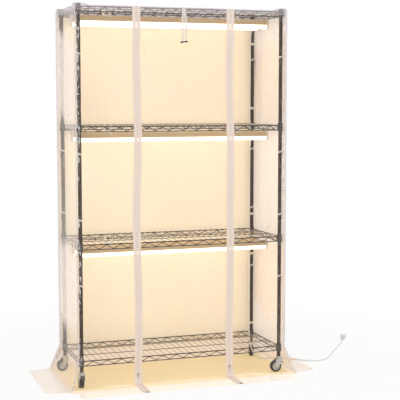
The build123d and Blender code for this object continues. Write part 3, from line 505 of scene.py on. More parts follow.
def clearFilm(name, code, haze, glow, glowCode=None, crease=0.0, foot=None, windows=0.0, lapHaze=0.0,
              wrinkle=0.2, even=False):
    # soft clear PVC film, 0.1 to 0.2 mm: glossy, a little milky, and white along the sharp creases that
    # gather at its top edge and at the poles, a painted highlight; glow is painted light, the film shining by
    # itself; a wall's foot lies on the floor and looks milkier there, and foot gives its colour, haze and
    # height, the colour painted warm lamp light
    material, tree = startMaterial(name)
    place = addNode(tree, "ShaderNodeTexCoord")
    stretched = addNode(tree, "ShaderNodeMapping", {"Scale": (1, 1, 0.45)},
                        {"Vector": place.outputs["Object"]})
    ridges = addNode(tree, "ShaderNodeTexNoise",
                     {"Scale": filmLook["creaseScale"], "Detail": 3.0, "Roughness": 0.55, "Distortion": 0.8},
                     {"Vector": stretched})
    values = {"Roughness": 0.12, "IOR": 1.53, "Emission Strength": glow,
              "Emission Color": hexColour(glowCode or code), "Base Color": hexColour(code), "Alpha": haze}
    bump = addNode(tree, "ShaderNodeBump", {"Strength": wrinkle, "Distance": filmLook["creaseDepth"]},
                   {"Height": ridges})
    links = {"Normal": bump}
    if not even:
        axes = addNode(tree, "ShaderNodeSeparateXYZ", {}, {0: place.outputs["Object"]})
        height = axes.outputs["Z"]
        clouds = addNode(tree, "ShaderNodeTexNoise", {"Scale": filmLook["cloudScale"], "Detail": 2.0},
                         {"Vector": stretched})
        milk = addNode(tree, "ShaderNodeMapRange", {"To Min": haze * 0.9, "To Max": haze * 1.1},
                       {"Value": clouds})
        if windows:
            swayed = addNode(tree, "ShaderNodeMath", {1: filmLook["windowSway"]}, {0: clouds, 2: height},
                             operation="MULTIPLY_ADD")
            lowered = addNode(tree, "ShaderNodeMath", {1: filmLook["windowSway"] / 2}, {0: swayed},
                              operation="SUBTRACT")
            clear = bandsByHeight(tree, lowered, filmLook["windows"])
            kept = addNode(tree, "ShaderNodeMath", {1: -windows, 2: 1.0}, {0: clear},
                           operation="MULTIPLY_ADD")
            milk = addNode(tree, "ShaderNodeMath", {}, {0: milk, 1: kept}, operation="MULTIPLY")
        if foot:
            footPaintedLampTint, footHaze, footFrom = foot
            lapFrom, lapTo = filmLook["lap"]
            lap = addNode(tree, "ShaderNodeMapRange", {"From Min": lapFrom, "From Max": lapTo},
                          {"Value": height})
            lying = addNode(tree, "ShaderNodeMapRange", {"From Min": footFrom, "From Max": footFrom * 0.45},
                            {"Value": height})
            milk = addNode(tree, "ShaderNodeMath", {1: lapHaze}, {0: lap, 2: milk}, operation="MULTIPLY_ADD")
            # the foot's cream colour: painted warm lamp light on the film where it lies on the floor
            colour = addNode(tree, "ShaderNodeMix", {"A": hexColour(code), "B": hexColour(footPaintedLampTint)},
                             {"Factor": lying}, data_type="RGBA")
            links["Base Color"] = addNode(tree, "ShaderNodeMix", {"B": hexColour(filmLook["lapColour"])},
                                          {"Factor": lap, "A": colour}, data_type="RGBA")
        # creases made milky white: a painted highlight of their glints
        if crease:
            milk = addNode(tree, "ShaderNodeMath", {1: crease}, {0: paintedCreaseGlints(tree, ridges, axes), 2: milk},
                           operation="MULTIPLY_ADD")
        if foot:
            milk = addNode(tree, "ShaderNodeMix", {"B": footHaze}, {"Factor": lying, "A": milk})
        links["Alpha"] = milk
    shader = addNode(tree, "ShaderNodeBsdfPrincipled", values, links)
    addNode(tree, "ShaderNodeOutputMaterial", {}, {"Surface": shader})
    return material


def crumpledFilmWithPaintedGlints(name, codes, clear, milky):
    # the same film where it is bunched up: clear windows between hard creases, whose facets are painted milky
    # white and grey, painted glints and shade
    material, tree = startMaterial(name)
    facets = addNode(tree, "ShaderNodeTexNoise", {"Scale": 85.0, "Detail": 2.0, "Distortion": 1.2},
                     {"Vector": objectPoints(tree, (1, 1, 0.5))})  # facets of about 10 mm
    alpha = addNode(tree, "ShaderNodeMapRange",
                    {"From Min": 0.54, "From Max": 0.62, "To Min": clear, "To Max": milky}, {"Value": facets})
    paintedGlintTone = addNode(tree, "ShaderNodeMix", {"A": hexColour(codes[0]), "B": hexColour(codes[1])},
                   {"Factor": facets}, data_type="RGBA")
    bump = addNode(tree, "ShaderNodeBump", {"Strength": 0.5, "Distance": 3 * mm}, {"Height": facets})
    shader = addNode(tree, "ShaderNodeBsdfPrincipled", {"Roughness": 0.1, "IOR": 1.53},
                     {"Base Color": paintedGlintTone, "Alpha": alpha, "Normal": bump})
    addNode(tree, "ShaderNodeOutputMaterial", {}, {"Surface": shader})
    return material


def wovenTape(name, codes, alpha):
    # woven polyester tape; threads drawn at 1.1 mm so that they show, the real ones are about 0.4 mm
    thread = 1.1 * mm
    material, tree = startMaterial(name)
    points = objectPoints(tree)
    weft, warp = (addNode(tree, "ShaderNodeTexWave", {"Scale": 1 / thread / 20, "Distortion": 0.4},
                          {"Vector": points}, bands_direction=run).outputs["Fac"] for run in ("Z", "X"))
    weave = addNode(tree, "ShaderNodeMath", {}, {0: weft, 1: warp}, operation="MULTIPLY")
    soil = addNode(tree, "ShaderNodeTexNoise", {"Scale": 14.0, "Detail": 4.0}, {"Vector": points})
    colour = addNode(tree, "ShaderNodeMix", {"A": hexColour(codes[0]), "B": hexColour(codes[1])},
                     {"Factor": soil}, data_type="RGBA")
    bump = addNode(tree, "ShaderNodeBump", {"Strength": 0.3, "Distance": 0.4 * mm}, {"Height": weave})
    shader = addNode(tree, "ShaderNodeBsdfPrincipled",
                     {"Roughness": 0.7, "Alpha": alpha, "Sheen Weight": 0.15},
                     {"Base Color": colour, "Normal": bump})
    addNode(tree, "ShaderNodeOutputMaterial", {}, {"Surface": shader})
    return material


poleCoat = powderCoat("powder_coat_pole", ("2a1c12", "3d2b1c"), 1.38)
wireCoat = powderCoat("epoxy_coat_wire", ("241b15", "352920"), 1.55, glossy=True)
deckPaintedHighlight = powderCoat("epoxy_deck_painted_highlight", ("6a573f", "7a664c"), 2.1, glossy=True)  # painted lighter brown: a painted highlight of the lamps above on the black deck wires
blackNylon = mouldedPlastic("black_nylon", ("141312", "211f1d"), 0.45, 1400.0)
zincPlate = platedMetal("zinc_plate", ("9b9a98", "d6d6d4"), 0.3)
nickelPlate = platedMetal("nickel_plate", ("a9a7a3", "dcdad6"), 0.22, (1, 1, 4))
greyNylon = mouldedPlastic("grey_nylon", ("d9d7d1", "c9c6bf"), 0.42, 900.0)
# thermoplastic rubber: almost black and dull, dusted grey where it rolls
rubber = solidFinish("tyre_rubber", ("18171a", "3a3836"), {"Scale": 160.0, "Detail": 6.0, "Roughness": 0.7},
                     (0.25, 0.3), {"Roughness": 0.72, "IOR": 1.5})
# white-beige enamel darkened to tan: painted shade under the shelves and painted warm light from the lamps
lampEnamelPaintedShade = mouldedPlastic("enamel_painted_warm_shade", ("e6cba2", "d6b78c"), 0.36, 700.0)
diffuserGlow = frostedDiffuser("frosted_polycarbonate", ("fff7e4", "fff2da"), 2.9, 25 * mm)
boardMask = mouldedPlastic("solder_mask", ("f3efe2", "e9e4d4"), 0.4, 1200.0)
whiteAbs = mouldedPlastic("white_abs", ("efe7da", "e4dccd"), 0.38, 1100.0)
# soft PVC cord jacket: satin, with faint length marks from the extruder
jacket = solidFinish("pvc_jacket", ("e6e6e4", "f2f1ee"), {"Scale": 240.0, "Detail": 3.0}, (0.08, 0.3),
                     {"Roughness": 0.42, "IOR": 1.53})
plugAbs = mouldedPlastic("plug_pvc", ("ececea", "e2e2e0"), 0.34, 1000.0)
bladeBrass = platedMetal("nickel_brass", ("b29a68", "d9c9a0"), 0.25)
# each film's glow is painted light, a shine of its own in place of the lamps' light scattered in it; the
# cream and warm colours are partly the film's faint tint and partly painted warm lamp light
frontFilm = clearFilm("clear_film_front", "fff6ea", 0.012, 0.26, crease=0.07, foot=("fae5c9", 0.36, 0.0075),
                      lapHaze=0.11)
leftFilm = clearFilm("clear_film_left", "fef1e7", 0.62, 0.12, crease=0.16, foot=("f4dcc2", 0.33, 0.03),
                     windows=0.88, lapHaze=0.16, wrinkle=0.25)
rightFilm = clearFilm("clear_film_right", "fdecda", 0.6, 0.12, crease=0.16, foot=("f4dcc2", 0.4, 0.03),
                      windows=0.3, lapHaze=0.16, wrinkle=0.25)
backFilm = clearFilm("clear_film_back", "fff1d6", 0.72, 0.13, foot=("fbe7d3", 0.5, 0.1), wrinkle=0.8)
topFilm = clearFilm("clear_film_top", filmLook["lapColour"], 0.28, 0.15, glowCode="ece6ea", crease=0.06)
hemFilm = clearFilm("clear_film_hem", "feedd6", 0.36, 0.26, even=True)
gatherFilmPaintedGlints = crumpledFilmWithPaintedGlints("crumpled_film_painted_glints", ("b9b3bb", "f4f0f4"), 0.03, 0.85)
seamFilm = wovenTape("welded_seam", ("e6dfe4", "f4eef0"), 0.62)
bindingTape = wovenTape("edge_binding", ("d2cad3", "e2dae0"), 0.42)
zipTape = wovenTape("polyester_tape", ("fdf0e4", "f6e4d8"), 0.86)
tieTape = wovenTape("tie_ribbon", ("f8eeea", "eee4e2"), 0.72)
zipNylon = mouldedPlastic("zip_nylon", ("efe8e2", "e2d8d2"), 0.35, 900.0)
print("stage: finishes")

# Poles: tubes with a shallow ring groove each inch
poleShape = {"groovePitch": 25.4 * mm, "grooveDepth": 0.45 * mm, "grooveHalf": 1.1 * mm, "steps": 28,
             "chamfer": 1 * mm, "grooveInCollar": 3 * mm, "bareFoot": 8 * mm, "bareHead": 6 * mm}


def makePole():
    radius, half, pitch = poleRadius, poleShape["grooveHalf"], poleShape["groovePitch"]
    inner = radius - poleShape["grooveDepth"]
    profile = [(radius - poleShape["chamfer"], poleLow.z), (radius, poleLow.z)]
    level = shelfLevels[0] - collarRise + poleShape["grooveInCollar"]
    level -= pitch * math.floor((level - poleLow.z - poleShape["bareFoot"]) / pitch)
    while level < poleHigh.z - poleShape["bareHead"]:
        profile += [(radius, level - half), (inner, level - half / 2), (inner, level + half / 2),
                    (radius, level + half)]
        level += pitch
    profile += [(radius, poleHigh.z), (radius - poleShape["chamfer"], poleHigh.z)]
    piece = lathe("pole", profile, poleShape["steps"])
    smooth(piece, 50)
    return piece


cornerPlaces = [((x, y, 0),) for x, y in corners.values()]
for corner, pole in zip(corners, copiesOf(makePole(), cornerPlaces)):
    pole.name = f"pole_tube_{corner}"
    finishPiece(pole, poleCoat, "stand", [f"pole_{corner}"])

# Pole caps: domed plugs
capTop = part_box("pole_caps")[1].z
capProfile = [(onAxis, -6 * mm), (6.8 * mm, -6 * mm), (6.8 * mm, 0.05 * mm), (8.6 * mm, 0.1 * mm),
              (8.8 * mm, 1.2 * mm), (8.2 * mm, 2.2 * mm), (5.6 * mm, capTop - poleHigh.z - 0.15 * mm),
              (onAxis, capTop - poleHigh.z)]
capMaster = lathe("cap", [(radius, poleHigh.z + height) for radius, height in capProfile], 32)
finishGroup(copiesOf(capMaster, cornerPlaces), "pole_cap_domes", 40, blackNylon,
            ["pole_caps"])
print("stage: poles")

# Shelves: round welded wires and tapered collars
shelfShape = {
    "rim": 5.0 * mm, "lower": 4.2 * mm, "zigzag": 3.2 * mm, "deck": 2.7 * mm, "support": 4.0 * mm,
    "truss": 20.0 * mm, "longWaves": 14, "shortWaves": 5, "deckCount": 31, "deckMargin": 36.0 * mm,
    "trussEnd": 8.0 * mm, "supportRow": 54.0 * mm, "supportRise": 0.5 * mm, "bendRadius": 4.5 * mm,
    "weld": 0.4 * mm, "deckWeld": 0.35 * mm,  # a weld sinks each wire a little
}
collarShape = {"topBore": 9.7 * mm, "slope": 1.4 / 30, "wall": 1.2 * mm, "foot": -21 * mm, "steps": 36,
               "lip": 0.3 * mm, "band": 2 * mm}


def collarBore(height):
    return collarShape["topBore"] + (collarRise - height) * collarShape["slope"]


def zigzagPoints(length, waves, high, low):
    # straight legs with small round bends
    step = length / (2 * waves)
    corner = [(place * step - length / 2, high if place % 2 else low) for place in range(2 * waves + 1)]
    points = [corner[0]]
    reach = shelfShape["bendRadius"]
    for before, here, after in zip(corner, corner[1:], corner[2:]):
        first = Vector(here) + (Vector(before) - Vector(here)).normalized() * reach
        last = Vector(here) + (Vector(after) - Vector(here)).normalized() * reach
        for share in (0, 0.5, 1):
            bend = first.lerp(Vector(here), share).lerp(Vector(here).lerp(last, share), share)
            points.append((bend.x, bend.y))
    points.append(corner[-1])
    return points


def trussWire(points):
    wireCurve("truss", points, shelfShape["zigzag"] / 2)
    bpy.ops.object.convert(target="MESH")
    return bpy.context.object


def makeShelf():
    shape = shelfShape
    parts, deck = [], []
    truss, lower, rim, weld = shape["truss"], shape["lower"], shape["rim"], shape["weld"]
    reachTop, reachLow = collarBore(0) + weld, collarBore(-truss) + weld
    for side in (-1, 1):
        for height, wire, reach in ((0, rim, reachTop), (-truss, lower, reachLow)):
            parts.append(rod((reach - poleX, side * poleY, height), (poleX - reach, side * poleY, height),
                             wire / 2, 12))
            parts.append(rod((side * poleX, reach - poleY, height), (side * poleX, poleY - reach, height),
                             wire / 2, 12))
        row, rise = side * shape["supportRow"], shape["supportRise"]
        deck.append(rod((-poleX, row, rise), (poleX, row, rise), shape["support"] / 2))
        low, high = -truss + lower / 2 - weld, -rim / 2 + weld
        inset = reachLow + shape["trussEnd"]
        wave = zigzagPoints(2 * (poleX - inset), shape["longWaves"], high, low)
        parts.append(trussWire([(x, side * poleY, z) for x, z in wave]))
        wave = zigzagPoints(2 * (poleY - inset), shape["shortWaves"], high, low)
        parts.append(trussWire([(side * poleX, y, z) for y, z in wave]))
    deckLevel = (rim + shape["deck"]) / 2 - shape["deckWeld"]
    reach = poleX - shape["deckMargin"]
    end = poleY + rim / 2
    wire = rod((-reach, -end, deckLevel), (-reach, end, deckLevel), shape["deck"] / 2)
    applyPlace(wire)
    repeat(wire, shape["deckCount"], (2 * reach / (shape["deckCount"] - 1), 0, 0))
    deck.append(wire)
    # the deck wires take the lighter coat with its painted highlight
    for coat, wires in ((wireCoat, parts), (deckPaintedHighlight, deck)):
        for part in wires:
            applyPlace(part)
            part.data.materials.append(coat)
    master = join(parts + deck, "shelf")
    smooth(master, 45)
    return master


levelPlaces = [((0, 0, level),) for level in shelfLevels]
for number, shelf in enumerate(copiesOf(makeShelf(), levelPlaces), start=1):
    shelf.name = f"wire_shelf_{number}"
    finishPiece(shelf, None, "stand", [f"shelf_{number}"])


def makeCollar():
    foot, wall, lip, band = (collarShape[key] for key in ("foot", "wall", "lip", "band"))
    low, high = collarBore(foot), collarBore(collarRise)
    return lathe("collar", [
        (low, foot), (low + wall * 0.6, foot - lip), (low + wall, foot), (low + wall, foot + band),
        (high + wall, collarRise - band), (high + wall, collarRise), (high + wall * 0.5, collarRise + lip),
        (high, collarRise)], collarShape["steps"])


seats = [(x, y, level) for level in shelfLevels for x, y in corners.values()]
finishGroup(copiesOf(makeCollar(), [(seat,) for seat in seats]), "shelf_collar_rings", 40, wireCoat,
            ["shelf_collars"])

# Sleeves: split tapered shells with a rolled lip that shows below and above each collar
sleeveShape = {"bore": 8.06 * mm, "foot": -22.5 * mm, "top": 9.75 * mm, "split": 9.0, "lipRadius": 11.0 * mm,
               "topRadius": 9.6 * mm, "steps": 16}


def makeSleeveHalf():
    bore, foot, top, lip = (sleeveShape[key] for key in ("bore", "foot", "top", "lipRadius"))
    return lathe("sleeve", [
        (bore, foot), (lip - 0.4 * mm, foot - 0.2 * mm), (lip, foot + 0.4 * mm), (lip, collarShape["foot"]),
        (sleeveShape["topRadius"], collarRise), (sleeveShape["topRadius"] - 0.05 * mm, top),
        (sleeveShape["topRadius"] - 0.5 * mm, top + 0.3 * mm), (bore, top)],
        sleeveShape["steps"], 180 - sleeveShape["split"])


halfTurns = [Matrix.Rotation(math.radians(turn + sleeveShape["split"] / 2), 4, "Z") for turn in (0, 180)]
finishGroup(copiesOf(makeSleeveHalf(), [(seat, turn) for seat in seats for turn in halfTurns]),
            "sleeve_shells", 40, blackNylon, ["shelf_sleeves"])
print("stage: shelves")

# Finishes of the CAD pieces that keep their shape
for material, nodes in (
    (zincPlate, [f"caster_{part}_{corner}" for corner in corners for part in ("stem", "fork")]),
    (greyNylon, [f"caster_wheel_{corner}" for corner in corners]),
    (rubber, [f"caster_tyre_{corner}" for corner in corners]),
    (blackNylon, [f"caster_brake_front_{side}" for side in sides]),
    (lampEnamelPaintedShade, [f"lamp_housings_{number}" for number in lampShelves]),
    (diffuserGlow, [f"lamp_diffusers_{number}" for number in lampShelves]),
    (boardMask, ["lamp_boards"]),
    (whiteAbs, ["lamp_end_caps", "lamp_clips"]),
    (jacket, ["lamp_leads"]),
    (plugAbs, ["plug_body"]),
    (bladeBrass, ["plug_blades"]),
    (nickelPlate, [f"zip_{part}_{side}" for side in sides for part in ("slider", "pull")]),
):
    for node in nodes:
        dress(node, material)
print("stage: dressed nodes")

# Lamp skirts: the housing's two lips that hold the diffuser
skirtShape = {"drop": 4.6 * mm, "overlap": 1 * mm, "thick": 1.2 * mm, "barWidth": 22 * mm, "proud": 0.25 * mm}
skirts = []
for number in lampShelves:
    barLow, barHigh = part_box(f"lamp_housings_{number}")
    for face, outward in ((barLow.y, -1), (barLow.y + skirtShape["barWidth"], 1),
                          (barHigh.y - skirtShape["barWidth"], -1), (barHigh.y, 1)):
        size = (barHigh.x - barLow.x, skirtShape["thick"], skirtShape["drop"] + skirtShape["overlap"])
        spot = (0, face + outward * (skirtShape["proud"] - skirtShape["thick"] / 2),
                barLow.z + (skirtShape["overlap"] - skirtShape["drop"]) / 2)
        skirts.append(block(size, spot, 0.3 * mm, 2))
# the skirts share the housing's tan with its painted shade
finishGroup(skirts, "lamp_housing_skirts", 40, lampEnamelPaintedShade)
print("stage: lamp skirts")

# Power cord: a listed route, on one smooth spline
cordShape = {"diameter": 6 * mm, "length": 0.922, "order": 3, "resolution": 5}
cordRoute = [
    (0.424, 0.145, 0.150), (0.424, 0.145, 0.106), (0.4244, 0.138, 0.072), (0.4255, 0.122, 0.043),
    (0.430, 0.103, 0.019), (0.443, 0.085, 0.004), (0.470, 0.070, 0.003), (0.508, 0.050, 0.003),
    (0.552, 0.0252, 0.003), (0.597, -0.002, 0.003), (0.639, -0.041, 0.003), (0.686, -0.061, 0.003),
    (0.733, -0.041, 0.003), (0.774, 0.007, 0.003), (0.818, 0.072, 0.003), (0.872, 0.140, 0.003),
    (0.921, 0.206, 0.003), (0.962, 0.262, 0.003), (0.984, 0.298, 0.003),
]
powerCord = wireCurve("power_cord_line", cordRoute, cordShape["diameter"] / 2, cordShape["resolution"],
                      "NURBS")
powerCord.data.splines[0].order_u = cordShape["order"]
powerCord.data.splines[0].use_endpoint_u = True
powerCord.data.materials.append(jacket)
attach(powerCord, "stand")
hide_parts("power_cord")
print("stage: power cord")

# Film cover
filmShape = {
    "panelX": topHigh.x - 3 * mm, "panelY": topHigh.y - 3 * mm,
    "footX": 0.494, "footY": 0.216, "reachX": 0.600, "reachY": 0.318,
    "flareTop": 0.115, "taper": 0.024, "bulgeFrom": 0.339, "bulgeTo": 0.394,
    "thickness": 0.5 * mm, "restOnRim": shelfLevels[-1] + 6.2 * mm, "tentReach": 0.05,
    "wallRows": 130, "flareRows": 14, "flapRows": 16, "topGap": 0.3 * mm,
    # the flare's path: out, 0 to 1, and up
    "flarePath": [(0, 0.115), (0.45, 0.068), (0.95, 0), (1, 0.0009)],
}
panelX, panelY = filmShape["panelX"], filmShape["panelY"]
zipShape = {
    "middle": 204 * mm, "fixedEdge": 208 * mm, "doorEdge": 199.5 * mm, "hemEdge": 199 * mm,
    "tapeGap": 1.9 * mm, "tapeWidth": 15.1 * mm, "tapeThick": 0.8 * mm, "tapeLift": 0.4 * mm,
    "toothPitch": 2.5 * mm, "tooth": (3.0 * mm, 1.7 * mm, 1.35 * mm), "toothShift": 0.6 * mm,
    "proud": 1.2 * mm, "swing": 7.5 * mm, "flutter": 1.6 * mm,
}
# the foot of the front, from under the zip sliders down, curves out onto the floor
sweepShape = {"top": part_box("zip_slider_left")[0].z - 1 * mm, "reach": 24 * mm, "landing": 4 * mm}


def topHeight(x, y):
    # the top film peaks over each pole cap, sags between them onto the top shelf and droops past its rim
    peak, rest = coverTop + 0.3 * mm, filmShape["restOnRim"]
    nearest = min(math.hypot(x - px, y - py) for px, py in corners.values())
    tent = 1 - easeBetween(nearest, 10 * mm, filmShape["tentReach"])
    ripple = 0.8 * mm * ruffle(x * 16, y * 16, 3.1)
    past = max(easeBetween(abs(y), poleY + 3 * mm, panelY), easeBetween(abs(x), poleX + 3 * mm, panelX))
    droop = past * (3.4 + 3.6 * ruffle(x * 6, y * 6, 9.2)) * mm
    return rest + (peak - rest) * tent + (ripple - droop) * (1 - tent)


def flareCurve(share):
    # how far out, 0 to 1, and how high the foot of the cover stands, from the flare's top to the floor
    weights = ((1 - share) ** 3, 3 * (1 - share) ** 2 * share, 3 * (1 - share) * share ** 2, share ** 3)
    return tuple(sum(weight * point[axis] for weight, point in zip(weights, filmShape["flarePath"]))
                 for axis in (0, 1))


def foldDepth(along, height, seed):
    # long soft hanging folds with finer creases that gather at the top and the foot
    broad = ruffle(along * 9, height * 0.8, seed)
    narrow = ruffle(along * 30, height * 2.4, seed + 7)
    crease = 1 - min(1, abs(ruffle(along * 22 + height * 3, height * 9, seed + 13)) * 6)
    edge = 1 - easeBetween(coverTop - height, 0.02, 0.26) * easeBetween(height, 0.08, 0.24)
    return (2.8 + 3.2 * broad + (0.35 + 0.9 * edge) * narrow + (0.1 + 1.6 * edge) * crease) * mm


# the two kinds of wall, each in its own frame: half widths at the wall and foot, its plane and its reach
sideHalf = {"wall": panelY, "foot": filmShape["footY"], "plane": panelX, "reach": filmShape["reachX"],
            "top": lambda y: topHeight(panelX, y), "grow": lambda along: filmShape["footX"] - panelX}
endHalf = {"wall": panelX, "foot": filmShape["footX"], "plane": panelY, "reach": filmShape["reachY"],
           "top": lambda x: topHeight(x, panelY),
           "grow": lambda along: (filmShape["footY"] - panelY) * easeBetween(
               abs(along), filmShape["bulgeFrom"], filmShape["bulgeTo"])}
wallRows, flareRows, flapRows = (filmShape[key] for key in ("wallRows", "flareRows", "flapRows"))
panelRows = wallRows + flareRows + flapRows


def panelPoint(across, down, half, seed):
    # a wall of the cover in its own frame: across along the wall, outwards and up
    row = down * panelRows
    along = 2 * across - 1
    wall = along * half["wall"]
    foot = half["grow"](along * half["foot"])
    pin = 0.12 + 0.88 * easeBetween(1 - abs(along), 0.0, 0.06)
    if row <= wallRows:
        top = half["top"](wall) - filmShape["topGap"]
        height = top * (1 - row / wallRows) + filmShape["flareTop"] * (row / wallRows)
        depth = foldDepth(wall, height, seed) * pin * easeBetween(top - height, -0.004, 0.03)
        return wall, half["plane"] + depth, height
    if row <= wallRows + flareRows:
        share = (row - wallRows) / flareRows
        out, height = flareCurve(share)
        depth = foldDepth(wall, filmShape["flareTop"], seed) * pin * (1 - share) ** 2
        wide = half["wall"] + (half["foot"] - half["wall"]) * out
        return along * wide, half["plane"] + foot * out + depth, height
    share = (row - wallRows - flareRows) / flapRows
    run = along * (half["foot"] - filmShape["taper"] * share)
    start = half["plane"] + foot
    out = start + (half["reach"] - start) * share
    lift = (0.9 + 2.6 * max(0, ruffle(run * 7, out * 9, seed + 21)) * easeBetween(share, 0, 0.25)) * mm
    edgeWave = 1.6 * mm * ruffle(run * 11, seed, 2.7) * share
    return run, out + edgeWave - 1.2 * mm * share, lift


humpShape = {"height": 6.6 * mm, "reach": 11 * mm, "steps": 12}
humpPoints = [Vector(start).lerp(Vector(end), step / humpShape["steps"]).to_2d()
              for start, end in zip(cordRoute[5:10], cordRoute[6:11]) for step in range(humpShape["steps"])]


def cordHump(x, y):
    # the hem lies over the power cord
    away = min((Vector((x, y)) - place).length for place in humpPoints)
    return humpShape["height"] * math.exp(-((away / humpShape["reach"]) ** 2))


def zipWave(side, height):
    # a zip in thin film never hangs straight; it is straight where its slider rests and stops
    fade = easeBetween(height, 0.07, 0.2) * (1 - easeBetween(height, 1.34, 1.46))
    swing = zipShape["swing"] * ruffle(side * 3.1, 0.4, height * 2.6)
    return fade * (swing + zipShape["flutter"] * ruffle(side * 5.3, 1.4, height * 8.0))


def footSweep(height):
    # how far the foot of the front has curved out, from the sliders down to the floor
    return sweepShape["reach"] * max(0.0, 1 - height / sweepShape["top"]) ** 1.8


def sidePanel(name, side, columns, seed):
    def place(across, down):
        along, out, height = panelPoint(across, down, sideHalf, seed)
        if side > 0 and height < 0.03:
            height += cordHump(side * out, along)
        return side * out, along, height

    return sheetGrid(name, columns, panelRows, place)


def endPanel(name, side, lowX, highX, columns, seed):
    # part of the front or back wall, from lowX to highX at the wall
    lowShare, highShare = ((x / panelX + 1) / 2 for x in (lowX, highX))

    def place(across, down):
        share = lowShare + (highShare - lowShare) * across
        along, out, height = panelPoint(share, down, endHalf, seed)
        plain = (2 * share - 1) * panelX
        along = plain + (along - plain) * easeBetween(abs(plain), 0.25, 0.4)
        if side < 0:
            near = 1 - easeBetween(abs(plain), zipShape["fixedEdge"], zipShape["fixedEdge"] + 0.09)
            along += zipWave(math.copysign(1, plain), height) * near
            lying = (down * panelRows - wallRows - flareRows) / flapRows
            if lying > 0:
                out += footSweep(0) * near * (1 - lying)
            else:
                out += (panelY + 0.6 * mm + footSweep(height) - out) * near
        return along, side * out, height

    return sheetGrid(name, columns, panelRows, place)


def finishFilm(piece, material, body, nodes):
    return finishPiece(thicken(piece, filmShape["thickness"], 60), material, body, nodes)


for name, columns, seed, film in (("left", 44, 1.3, leftFilm), ("right", 60, 5.9, rightFilm)):
    wall = sidePanel(f"film_{name}_wall", sides[name], columns, seed)
    finishFilm(wall, film, "stand", [f"cover_{name}"])
backWall = endPanel("film_back_wall", 1, -panelX, panelX, 110, 11.4)
finishFilm(backWall, backFilm, "stand", ["cover_back"])
for name, side in sides.items():
    lowX, highX = sorted([side * zipShape["fixedEdge"], side * panelX])
    front = endPanel(f"film_front_{name}", -1, lowX, highX, 40, 17.2 + side)
    finishFilm(front, frontFilm, "stand", [f"cover_front_{name}"])


def doorPoint(across, down):
    x = (2 * across - 1) * zipShape["doorEdge"]
    top = topHeight(x, -panelY)
    height = top * (1 - down) + sweepShape["landing"] * down
    depth = foldDepth(x, height, 29.5) * easeBetween(zipShape["doorEdge"] - abs(x), 0.0, 0.09)
    depth *= easeBetween(top - height, -0.004, 0.03)
    wave = zipWave(math.copysign(1, x), height) * easeBetween(abs(x), 0.06, zipShape["doorEdge"])
    return x + wave, -(panelY + depth * 0.9 + 0.3 * mm + footSweep(height)), height


def riseWithDoor(piece):
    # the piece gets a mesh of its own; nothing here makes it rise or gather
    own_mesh(piece)


doorSheet = finishFilm(sheetGrid("film_door", 40, 150, doorPoint), frontFilm, "stand", ["door_film"])
riseWithDoor(doorSheet)


def hemPoint(across, down):
    x = (2 * across - 1) * zipShape["hemEdge"]
    y = hemHigh.y + (hemLow.y - hemHigh.y) * down
    lift = (0.9 + 2.4 * max(0, ruffle(x * 7, y * 9, 31.0) * easeBetween(down, 0, 0.3))) * mm
    return x, y + 1.2 * mm * ruffle(x * 11, 4.0, 2.7) * down, lift


hemSheet = finishFilm(sheetGrid("film_hem", 36, 18, hemPoint), hemFilm, "door_hem", ["hem_film"])


def topPoint(across, down):
    x = (2 * across - 1) * (panelX + 1.5 * mm)
    y = (2 * down - 1) * (panelY + 1.5 * mm)
    return x, y, topHeight(x, y) + 0.4 * mm


topSheet = finishFilm(sheetGrid("film_top", 110, 44, topPoint), topFilm, "stand", ["cover_top"])
print("stage: film cover")


# Zips: two woven tapes with moulded teeth each, sewn over the film's edges, down the wall and along the floor
def wallTape(name, side, near, far):
    # from the top edge down to the floor
    def place(across, down):
        x = side * (near + (far - near) * across)
        top = topHeight(x, -panelY) + zipShape["tapeLift"]
        height = top * (1 - down) + sweepShape["landing"] * down
        lift = 0.25 * mm * ruffle(x * 60, height * 30, 8.0)
        out = panelY + zipShape["proud"] + lift + footSweep(height)
        return x + zipWave(side, height), -out, height

    return thicken(sheetGrid(name, 4, 200, place), zipShape["tapeThick"])


def floorTape(name, side, near, far, startY):
    # from the foot of the wall to the hem's outer edge
    endY = hemLow.y + 0.4 * mm

    def place(across, down):
        y = startY + (endY - startY) * down
        wave = max(0, ruffle(side * 4.0, y * 12, 3.3))
        return side * (near + (far - near) * across), y, (1.9 + 1.6 * wave * easeBetween(down, 0, 0.3)) * mm

    return thicken(sheetGrid(name, 4, 24, place), zipShape["tapeThick"])


def toothRow(name, side, inward, wall):
    # teeth along one edge: up the wall, or out along the floor; the inward row sits half a pitch on
    pitch = zipShape["toothPitch"]
    deselectAll()
    bpy.ops.mesh.primitive_cube_add(size=1)
    tooth = bpy.context.object
    tooth.name = name
    bpy.ops.object.mode_set(mode="EDIT")
    bpy.ops.transform.resize(value=zipShape["tooth"])
    bpy.ops.mesh.bevel(offset=0.3 * mm, segments=1)
    bpy.ops.object.mode_set(mode="OBJECT")
    offset = pitch / 2 if inward else 0
    x = side * (zipShape["middle"] + zipShape["toothShift"] * (-1 if inward else 1))
    if wall:
        length = topHeight(side * zipShape["middle"], -panelY) - 6 * mm
        repeat(tooth, int(length / pitch), (0, 0, pitch))
        tooth.data.transform(Matrix.Translation((x, -(panelY + zipShape["proud"] + 0.3 * mm),
                                                 5 * mm + offset)))
        for vertex in tooth.data.vertices:
            vertex.co.x += zipWave(side, vertex.co.z)
            vertex.co.y -= footSweep(vertex.co.z)
    else:
        tooth.data.transform(Matrix.Rotation(math.radians(90), 4, "X"))
        repeat(tooth, int((hemHigh.y - hemLow.y - 10 * mm) / pitch), (0, -pitch, 0))
        tooth.data.transform(Matrix.Translation((x, hemHigh.y - 3 * mm - offset, 2.2 * mm)))
    return tooth


